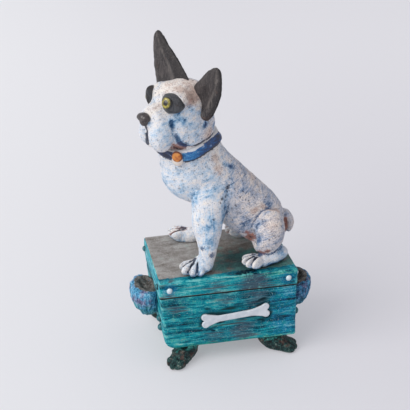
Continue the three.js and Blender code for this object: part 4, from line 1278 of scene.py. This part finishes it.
def tag_point(out, drop):
    """A point in front of the collar at the tag: so far out, and so far down."""
    reach = 27.4 + out
    return COLLAR_CENTRE - [math.cos(TAG_ANGLE) * reach, math.sin(TAG_ANGLE) * reach, drop]


def dog_tag():
    """The orange tag and the pale plate behind its lower edge."""
    outward = np.array([-math.cos(TAG_ANGLE), -math.sin(TAG_ANGLE), 0])
    turn = [0, 0, math.degrees(math.atan2(outward[1], outward[0]))]
    for name, node, centre, radii, material, slot in (
        ("tag_disc", "dog_tag", tag_point(1.6, 6.0), [2.2, TAG_RADIUS, TAG_RADIUS], TAG, "orange"),
        ("tag_plate", "dog_tag_plate", tag_point(0.8, 9.6), [1.8, 4.8, 4.8], PLATE, "clay"),
    ):
        clay = Clay(centre - 9, centre + 9, step=0.4)
        clay.add(Ball(centre, radii, turn), 0.5)
        skin = Skin(clay)
        skin.push(0.15 * lumps(skin.points, 3, 10))
        away = skin.points - centre
        out = np.linalg.norm(away - np.outer(away @ outward, outward), axis=1)
        masks = {"rim": fade(out, 0.62 * TAG_RADIUS, TAG_RADIUS)}
        make_piece(name, skin.points, skin.faces, material, "lid", [node], masks)


# Lid


def lid_shell():
    """The lid's slab and its edges, open below."""
    clay = Clay([-63, -46, 65], [63, 46, 88], step=0.85)
    low = [-LID_HALF[0], -LID_HALF[1], LID_BOTTOM - 3]
    clay.add(Slab(low, [LID_HALF[0], LID_HALF[1], LID_TOP], 1.8), 0.5)
    left, right, deep = FLANGE_INSIDE
    clay.carve(Slab([-left, -deep, LID_BOTTOM - 9], [right, deep, SLAB_BOTTOM], 0.5), 0.3)
    clay.keep(LID_BOTTOM - clay.grid(2))
    skin = Skin(clay, rounds=3)
    x, y, z = skin.points.T
    rise = skin.normals[:, 2]
    outer = np.maximum(np.abs(x) - LID_HALF[0], np.abs(y) - LID_HALF[1])
    free = fade(z, LID_BOTTOM + 0.8, LID_BOTTOM + 2.4) * fade(outer, -6, -2)
    skin.push(free * (0.4 * lumps(skin.points, 11, 11) + 0.25 * lumps(skin.points, (9, 9, 2.2), 12)))
    top = fade(z, LID_TOP - 2, LID_TOP - 1) * fade(outer, -1, -4)
    skin.push(0.18 * lumps(skin.points, (14, 5, 5), 22) * top)
    masks = edge_masks(skin, times=20, depth=0.6)
    front = fade(y, -LID_HALF[1] + 2.5, -LID_HALF[1])
    masks["teal"] = np.where((rise > 0.75) & (z > SLAB_BOTTOM), fade(y, -30, -41), 1.0)
    masks["moss"] = np.clip(0.75 * fade(y, 36, -24) * fade(x, -30, 8), 0, 1)
    # painted shadow under the dog's belly on the lid top
    masks["shade"] = dabs(skin.points, [(10, -12, 85, 22, 1.0), (12, -26, 85, 12, 0.7)])
    # painted light: the left face, turned to the lamp, is made lighter; the front face is lighter, more so to
    # the left, with a lighter band along the top front edge
    left_face = fade(skin.normals[:, 0], -0.5, -0.9)
    edge_light = 0.6 * fade(z, 80, 84) * fade(y, -38, -42)
    masks["light"] = np.max([1.1 * left_face, edge_light, front * (0.55 + 0.3 * fade(x, 0, -30))], axis=0)
    grey_marks = [(22, -42.5, 76, 19, 1.1), (-12, -42.5, 74, 14, 0.8)]
    masks["grey"] = np.maximum(0.35, front * dabs(skin.points, grey_marks))
    masks["green"] = 0.5 * fade(z, 79, 83) * fade(y, -36, -42) * fade(x, -30, 20)
    corners = [(sx * 51.5, sy * 42.5, 77.4, 8, 1.0) for sx in (LEFT, RIGHT) for sy in (LEFT, RIGHT)]
    # painted light: the left face is also made bluer
    masks["azure"] = np.maximum(0.9 * dabs(skin.points, corners), 0.5 * left_face)
    # painted shade: darker round each corner pearl's seat
    masks["dark"] = 0.5 * dabs(skin.points, corners)
    # painted shade: dark along the lower edge, in the joint over the tray
    seam = fade(z, LID_BOTTOM + 1.2, LID_BOTTOM + 0.2) * fade(outer, -3, -1)
    masks["hollow"] = np.maximum(masks["hollow"], seam)
    masks["inner"] = np.maximum(fade(rise, -0.6, -0.9), fade(outer, -6, -7.5) * (z < SLAB_BOTTOM + 0.5))
    nodes = ["lid_top_slab"] + [f"lid_{side}_band" for side in ("front", "back", "left", "right")]
    make_piece("lid_shell", skin.points, skin.faces, LID, "lid", nodes, masks)


def pearl(name, node, body, material, seed):
    """A hand-pressed dot of clay: a low dome set into the face behind it."""
    low, high = (np.array(corner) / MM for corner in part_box(node))
    size = (high - low) / 2
    axis = int(np.argmin(size))
    centre = (low + high) / 2
    inward = np.zeros(3)
    inward[axis] = -1 if centre[axis] > 0 else 1
    seat = centre + inward * size[axis]
    radii = size.copy()
    radii[axis] = 2 * size[axis]
    clay = Clay(seat - radii - 2, seat + radii + 2, step=0.35)
    clay.add(Ball(seat, radii), 0.5)
    skin = Skin(clay)
    skin.push(0.22 * lumps(skin.points, 2.4, seed))
    away = (skin.points - seat) @ -inward
    masks = {"rim": 0.9 * fade(away, 0.5 * radii[axis], 0.05 * radii[axis])}
    make_piece(name, skin.points, skin.faces, material, body, [node], masks)


# Tray, bone, lugs, feet


def bone_distance(points, grow=0.0):
    """Distance from the bone's outline, measured in the front face."""
    tilt = math.radians(BONE_TILT)
    across = points[:, 0] - BONE_CENTRE[0]
    upward = points[:, 2] - BONE_CENTRE[2]
    u = np.abs(across * math.cos(tilt) + upward * math.sin(tilt))
    v = np.abs(-across * math.sin(tilt) + upward * math.cos(tilt))
    flare = 3.3 + 3.3 * fade(u, 13, 28)
    shaft = np.maximum(v - flare * 0.92, u - (BONE_HALF - 2.2))
    knob = np.hypot(u - (BONE_HALF - 3.2), v - 3.6) - 3.2
    return soft_min(shaft, knob, 1.2) - grow


def tray_shell():
    """The tray's floor and walls, with the bed for the bone."""
    clay = Clay([-63, -46, 14], [63, 46, 72], step=0.9)
    lean = (LEFT_LEAN, RIGHT_LEAN, FRONT_LEAN, FRONT_LEAN)
    low = [-TRAY_HALF[0], -TRAY_HALF[1], TRAY_BOTTOM]
    clay.add(Slab(low, [TRAY_HALF[0], TRAY_HALF[1], RIM + 3], 2.2, lean, RIM), 0.5)
    left_wall = -TRAY_HALF[0] + LEFT_LEAN * (RIM - clay.grid(2))
    inward = left_wall + ROLLED_EDGE - clay.grid(0)
    downward = TRAY_BOTTOM + ROLLED_EDGE - clay.grid(2)
    clay.keep(np.hypot(np.maximum(inward, 0), np.maximum(downward, 0)) - ROLLED_EDGE)
    inner_low = [-TRAY_HALF[0] + WALL, -TRAY_HALF[1] + WALL, TRAY_FLOOR]
    inner_high = [TRAY_HALF[0] - WALL, TRAY_HALF[1] - WALL, RIM + 9]
    clay.carve(Slab(inner_low, inner_high, 1.5, lean, RIM), 0.4)

    def bed(points):
        face = -(TRAY_HALF[1] - FRONT_LEAN * (RIM - points[:, 2]))
        depth = points[:, 1] - (face + 2.2)
        return np.maximum(bone_distance(points, -0.3), depth)

    clay.carve(Shape([-28, -46, 32], [40, -38, 58], bed), 0.8)
    clay.keep(clay.grid(2) - RIM)
    skin = Skin(clay, rounds=3)
    x, y, z = skin.points.T
    face = TRAY_HALF[1] - FRONT_LEAN * (RIM - z)
    side = TRAY_HALF[0] - np.where(x < 0, LEFT_LEAN, RIGHT_LEAN) * (RIM - z)
    outside = np.maximum(np.abs(y) - face, np.abs(x) - side)
    free = fade(outside, -3.5, -1.5) * fade(z, RIM - 0.6, RIM - 2.4)
    strokes = 0.35 * lumps(skin.points, (16, 16, 2.6), 13) + 0.5 * lumps(skin.points, (26, 26, 6.5), 14)
    skin.push(free * strokes)
    front = fade(y, -35, -38)
    ring = np.where(front > 0, bone_distance(skin.points), 30)
    skin.push(-0.9 * fade(np.abs(ring - 4.5), 3.5, 0.5) * fade(np.abs(x - BONE_CENTRE[0]), 32, 24))
    masks = edge_masks(skin, times=20, depth=0.7)
    # painted shade: a dark halo in the shallow groove round the bone
    outline = (0.4 + 0.35 * lumps(skin.points, 7, 23)) * fade(ring, 6.5, 0.6)
    # painted shade: dark along the rim, in the joint under the lid
    seam = fade(z, RIM - 1.2, RIM - 0.2) * fade(outside, -3, -1)
    masks["hollow"] = np.max([masks["hollow"], outline, seam], axis=0)
    # painted highlight: a pale line along the lower edge of the hollow under the bone
    shine = fade(from_line(skin.points, [(-14, -41.5, 36), (26, -41.5, 38.5)]), 3.5, 0.8)
    masks["light"] = np.max([0.35 * front * fade(x, 30, 44), 0.4 * fade(z, 25, 19), 0.7 * shine], axis=0)
    grey_marks = [
        (24, -42, 61, 15, 0.9), (-2, -42, 63, 12, 0.6), (12, -42, 30, 15, 0.95),
        (-12, -42, 26, 14, 0.7), (-46, -42, 61, 12, 0.7),
    ]
    masks["grey"] = np.maximum(0.08, front * dabs(skin.points, grey_marks))
    masks["green"] = np.maximum(0.5 * fade(z, 24, 18), 0.22 * front * fade(x, 5, -40))
    masks["azure"] = np.maximum(0.55 * front * fade(x, 24, 46), 0.6 * fade(x, 52, 58))
    darks = [(36, -42, 61, 8, 0.7), (-34, -42, 42, 13, 0.4), (50, -42, 45, 20, 0.5)]
    masks["dark"] = dabs(skin.points, darks)
    masks["inner"] = fade(outside, -2, -4) * (z > TRAY_FLOOR - 1)
    nodes = ["floor_slab", "front_wall", "back_wall", "left_wall", "right_wall"]
    make_piece("tray_shell", skin.points, skin.faces, TEAL, "box", nodes, masks)


def bone():
    """The white bone on the front."""
    face = -(TRAY_HALF[1] - FRONT_LEAN * (RIM - BONE_CENTRE[2]))

    def form(points):
        depth = np.abs(points[:, 1] - (face + 0.5)) - 1.7
        return rounded([bone_distance(points), depth], BONE_EDGE)

    low, high = [-30, face - 4, 30], [42, face + 5, 60]
    clay = Clay(low, high, step=0.45)
    clay.add(Shape(np.array(low) + 1, np.array(high) - 1, form), 0.01)
    skin = Skin(clay, rounds=3)
    skin.push(0.18 * lumps(skin.points, 5, 15))
    masks = edge_masks(skin, times=16, depth=0.5)
    make_piece("bone", skin.points, skin.faces, BONE, "box", ["bone_relief"], masks)


def lug(side, name):
    """A gouged grip on a short side of the tray, scooped out at the top."""
    top = RIM - 4.6
    lean = LEFT_LEAN if side == LEFT else RIGHT_LEAN
    wall = TRAY_HALF[0] - lean * (RIM - top)
    reach = LID_HALF[0] + 19 - wall
    shift = -3 if side == LEFT else -16
    tall = 31
    stations = []
    for out, drop, wide, thick in (
        (0.35, 0, 18, 0.62), (0.38, 0.3, 18, 0.62), (0.2, 0.7, 12.96, 0.55), (-0.1, 1, 7.2, 0.3),
    ):
        stations.append([side * (wall + out * reach), shift, top - drop * tall, wide, thick * reach])
    grip = Limb(stations, caps=(0.16, 0.3))
    clay = Clay(grip.low - 3, grip.high + 3, step=0.7)
    clay.add(grip, 1)
    cup = [side * (wall + 0.25 * reach), shift, top + 1]
    clay.carve(Ball(cup, [0.44 * reach, 12.5, 0.2 * tall]), 2.0)
    clay.keep(TRAY_HALF[0] - lean * (RIM - clay.grid(2)) - 1.5 - side * clay.grid(0))
    skin = Skin(clay)
    ridges = 1 - 2 * np.abs(lumps(skin.points, (4.5, 4.5, 12), 16))
    free = fade(side * skin.points[:, 0], wall, wall + 3)
    skin.push(free * (0.8 * ridges + 0.5 * lumps(skin.points, 3, 17)))
    masks = edge_masks(skin, times=12, depth=0.9)
    local = skin.points - np.array(cup)
    masks["cup"] = fade(np.linalg.norm(local / [0.62 * reach, 15, 0.5 * tall], axis=1), 1.1, 0.85)
    masks["light"] = fade(skin.points[:, 2], 55, 42)
    # the right lug gets more of the dark gouge colour all over, so it is painted darker
    masks["hollow"] += 0 if side == LEFT else 0.35
    nodes = [f"{name}_lug"]
    make_piece(f"lug_{name}", skin.points, skin.faces, LUG, "box", nodes, masks)


def foot(end, side, name):
    """A gnarled foot, splayed outward at a corner of the tray."""
    deep = -1 if end == "front" else 1
    splay = math.radians(46 if side == LEFT else 26)
    inset = np.array([34.375 if side == LEFT else 40.175, 28.79])
    heading = np.array([math.cos(splay), math.sin(splay)])
    lateral = np.array([-heading[1], heading[0]])
    flip = np.array([side, deep, 1.0])

    def along(distance, height, sideways=0.0):
        spot = inset + distance * heading + sideways * lateral
        return np.array([spot[0], spot[1], height]) * flip

    stations = []
    for distance, height, wide, thick in (
        (-2, 20, 11, 11), (1, 10.54, 9.5, 9.5), (9, 6.8, 8.6, 7.6), (20, 4.42, 5.5, 4.4),
    ):
        stations.append([*along(distance, height), wide, thick])
    across = np.array([lateral[0] * side, lateral[1] * deep, 0])
    limb = Limb(stations, across=across, caps=(0.2, 0.2))
    clay = Clay(limb.low - [8, 8, 2], limb.high + [8, 8, 2], step=0.65)
    clay.add(limb, 1)
    turn = [0, 0, math.degrees(math.atan2(heading[1] * deep, heading[0] * side))]
    clay.add(Ball(along(13.2, 3.6), [9, 7.6, 5], turn), 1.5)
    clay.add(Ball(along(4, 11, 3), [5.5, 5, 4.5], turn), 1.5)
    for toe in (-1, 0, 1):
        reach = 20 - 2.2 * abs(toe)
        clay.add(Ball(along(reach, 3.6, 4.4 * toe), [5.8, 3.6, 4.4], turn), 1.6)
        clay.add(Ball(along(reach - 4.5, 6, 4.2 * toe), [3.4, 3, 2.6], turn), 1.8)
    for gap in (-0.5, 0.5):
        slot = [(16, 8, 0.2, 0.6), (20, 6, 0.3, 1.0), (25, 2, 0.4, 1.4)]
        cut = [[*along(distance, height, 5 * gap), wide, tall] for distance, height, wide, tall in slot]
        clay.carve(Limb(cut, across=across, caps=(0.1, 0.05)), 0.6)
    clay.keep(np.maximum(-clay.grid(2), clay.grid(2) - TRAY_BOTTOM - 0.6))
    skin = Skin(clay)
    knots = 1 - 2 * np.abs(lumps(skin.points, 5.5, 18))
    skin.push(fade(skin.points[:, 2], 0.3, 2) * (0.9 * knots + 0.45 * lumps(skin.points, 2.6, 19)))
    skin.points[:, 2] = np.maximum(skin.points[:, 2], 0)
    masks = edge_masks(skin, times=14, depth=0.8)
    masks["light"] = fade(skin.points[:, 2], 9, 15)
    node = f"foot_{end}_{name}"
    make_piece(f"paw_{end}_{name}", skin.points, skin.faces, FOOT, "box", [node], masks)


# Studio: floor, light and camera

CAMERA_TURN = math.radians(-12.05077)
CAMERA_RISE = math.radians(26.00059)
CAMERA_DISTANCE = 788.929
CAMERA_TARGET = np.array([-12.132, 0.0, 132.397])
CAMERA_VIEW = math.radians(25)
CAMERA_FAR = 50
SENSOR_WIDTH = 36
FLOOR_HALF = 4000
FLOOR_GLOW = 0.4
SKY_COLOUR = (0.96, 0.95, 1.0, 1)
SKY_LIGHT = 0.55
SKY_SEEN = 0.76
LAMP_PLACE = np.array([-4700.0, -1900.0, 4200.0])
LAMP_TARGET = np.array([0.0, 0.0, 110.0])
LAMP_SIZE = 5200
LAMP_POWER = 330.0
LAMP_COLOUR = (1.0, 0.985, 0.96)


def in_view(tree):
    """1 for rays from the camera and for mirrored or refracted ones, 0 for the light on the object."""
    rays = tree.nodes.new("ShaderNodeLightPath").outputs
    total = rays["Is Camera Ray"]
    for kind in ("Is Glossy Ray", "Is Transmission Ray"):
        either = tree.nodes.new("ShaderNodeMath")
        either.operation = "MAXIMUM"
        tree.links.new(total, either.inputs[0])
        tree.links.new(rays[kind], either.inputs[1])
        total = either.outputs[0]
    return total


def studio():
    """Floor, sky, lamp and camera."""
    scene = bpy.context.scene
    scene.view_settings.view_transform = "Standard"
    p = Paint("pale_floor")
    cloud = p.noise(900.0, 2.0, 0.5)
    across = p.node("ShaderNodeSeparateXYZ", {0: p.place}, 0)
    deep = p.node("ShaderNodeSeparateXYZ", {0: p.place}, 1)
    # painted light: the floor is coloured lighter to the left and to the back, standing for the lamp's
    # falloff
    pale = p.mix(p.ramp(across, -0.3, 0.3), (231, 232, 236), (215, 214, 221))
    pale = p.mix(p.times(p.ramp(deep, -0.1, 1.0), 0.38), pale, (246, 247, 250))
    tint = p.mix(p.times(cloud, 0.1), pale, (224, 225, 231))
    seen = p.times(in_view(p.tree), FLOOR_GLOW)
    p.tree.links.new(tint, p.shader.inputs["Emission Color"])
    p.tree.links.new(seen, p.shader.inputs["Emission Strength"])
    dimmed = p.mix(seen, tint, (0, 0, 0))
    floor_paint = p.finish(dimmed, p.total(0.7, (cloud, 0.2)), cloud, depth=0.1, strength=0.1)
    half = MM * FLOOR_HALF
    floor = bpy.data.meshes.new("floor")
    corners = [(-half, -half, 0), (half, -half, 0), (half, half, 0), (-half, half, 0)]
    floor.from_pydata(corners, [], [(0, 1, 2, 3)])
    floor.materials.append(floor_paint)
    ground = bpy.data.objects.new("floor", floor)
    scene.collection.objects.link(ground)
    world = bpy.data.worlds.new("studio")
    scene.world = world
    world.use_nodes = True
    back = world.node_tree.nodes["Background"]
    back.inputs["Color"].default_value = SKY_COLOUR
    seen_sky = in_view(world.node_tree)
    strength = world.node_tree.nodes.new("ShaderNodeMapRange")
    world.node_tree.links.new(seen_sky, strength.inputs["Value"])
    strength.inputs["To Min"].default_value = SKY_LIGHT
    strength.inputs["To Max"].default_value = SKY_SEEN
    world.node_tree.links.new(strength.outputs[0], back.inputs["Strength"])
    key_lamp(scene)
    lens = bpy.data.cameras.new("camera")
    lens.sensor_fit = "HORIZONTAL"
    lens.sensor_width = SENSOR_WIDTH
    lens.lens = SENSOR_WIDTH / 2 / math.tan(CAMERA_VIEW / 2)
    lens.clip_end = CAMERA_FAR
    eye = bpy.data.objects.new("camera", lens)
    flat = math.cos(CAMERA_RISE)
    back_way = np.array([math.sin(CAMERA_TURN) * flat, -math.cos(CAMERA_TURN) * flat, math.sin(CAMERA_RISE)])
    eye.location = [MM * c for c in CAMERA_TARGET + CAMERA_DISTANCE * back_way]
    eye.rotation_euler = (math.pi / 2 - CAMERA_RISE, 0, CAMERA_TURN)
    scene.collection.objects.link(eye)
    scene.camera = eye


def key_lamp(scene):
    """A square soft lamp aimed at the middle of the object."""
    light = bpy.data.lights.new("key", "AREA")
    light.shape = "SQUARE"
    light.size = LAMP_SIZE * MM
    light.energy = LAMP_POWER
    light.color = LAMP_COLOUR
    lit = bpy.data.objects.new("key", light)
    way = LAMP_TARGET - LAMP_PLACE
    lit.location = [MM * c for c in LAMP_PLACE]
    rise = math.atan2(way[2], math.hypot(way[0], way[1]))
    lit.rotation_euler = (math.pi / 2 + rise, 0, math.atan2(way[1], way[0]) - math.pi / 2)
    scene.collection.objects.link(lit)


# Making

PAINTED_DOG = dog_paint()
TEAL = teal_paint()
LID = lid_paint()
LUG = bark_paint()
FOOT = foot_paint()
CHARCOAL = charcoal_paint("charcoal_ear", (54, 51, 52), (80, 75, 75), 0.4)
EYE_PATCH = charcoal_paint("eye_patch", (70, 73, 77), (94, 95, 98), 0.22)
NOSE = glaze_paint("painted_nose", (74, 68, 67), (54, 50, 51), (22, 20, 21), 3.0, 0.1)
COLLAR = collar_paint()
TAG = glaze_paint("orange_tag", (214, 142, 66), (176, 98, 46), (120, 66, 40), 2.2, 0.3)
PLATE = glaze_paint("pale_plate", (222, 216, 208), (206, 192, 184), (214, 206, 200), 3.0, 0.4)
PEARL = glaze_paint("pale_pearl", (214, 224, 230), (190, 208, 216), (70, 140, 150), 2.6, 0.22)
BEAD = glaze_paint("teal_bead", (26, 116, 122), (20, 84, 96), (14, 58, 66), 3.0, 0.3)
IRIS = iris_paint()
BONE = bone_paint()
CLAY = bare_clay()

studio()
dog_body()
dog_head()
for side, outline in EARS.items():
    dog_ear(side, outline)
for side, name in SIDE_NAMES.items():
    dog_eye(side, name)
dog_nose()
dog_collar()
dog_tag()
lid_shell()
tray_shell()
bone()
for side, name in SIDE_NAMES.items():
    lug(side, name)
for end in ("front", "back"):
    for side, name in SIDE_NAMES.items():
        foot(end, side, name)
for seed, corner in enumerate(sorted(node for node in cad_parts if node.startswith("lid_pearl_"))):
    stained = corner.startswith("lid_pearl_left")
    pearl(corner.replace("lid_", ""), corner, "lid", BEAD if stained else PEARL, PEARL_SEED + seed)
for seed, bead in enumerate(("left_bead_upper", "left_bead_lower", "right_bead")):
    pearl(f"knob_{bead}", bead, "box", BEAD, BEAD_SEED + seed)
for face in ("front", "back", "left", "right"):
    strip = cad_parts[f"lid_{face}_flange"]
    strip.data.materials.clear()
    strip.data.materials.append(CLAY)
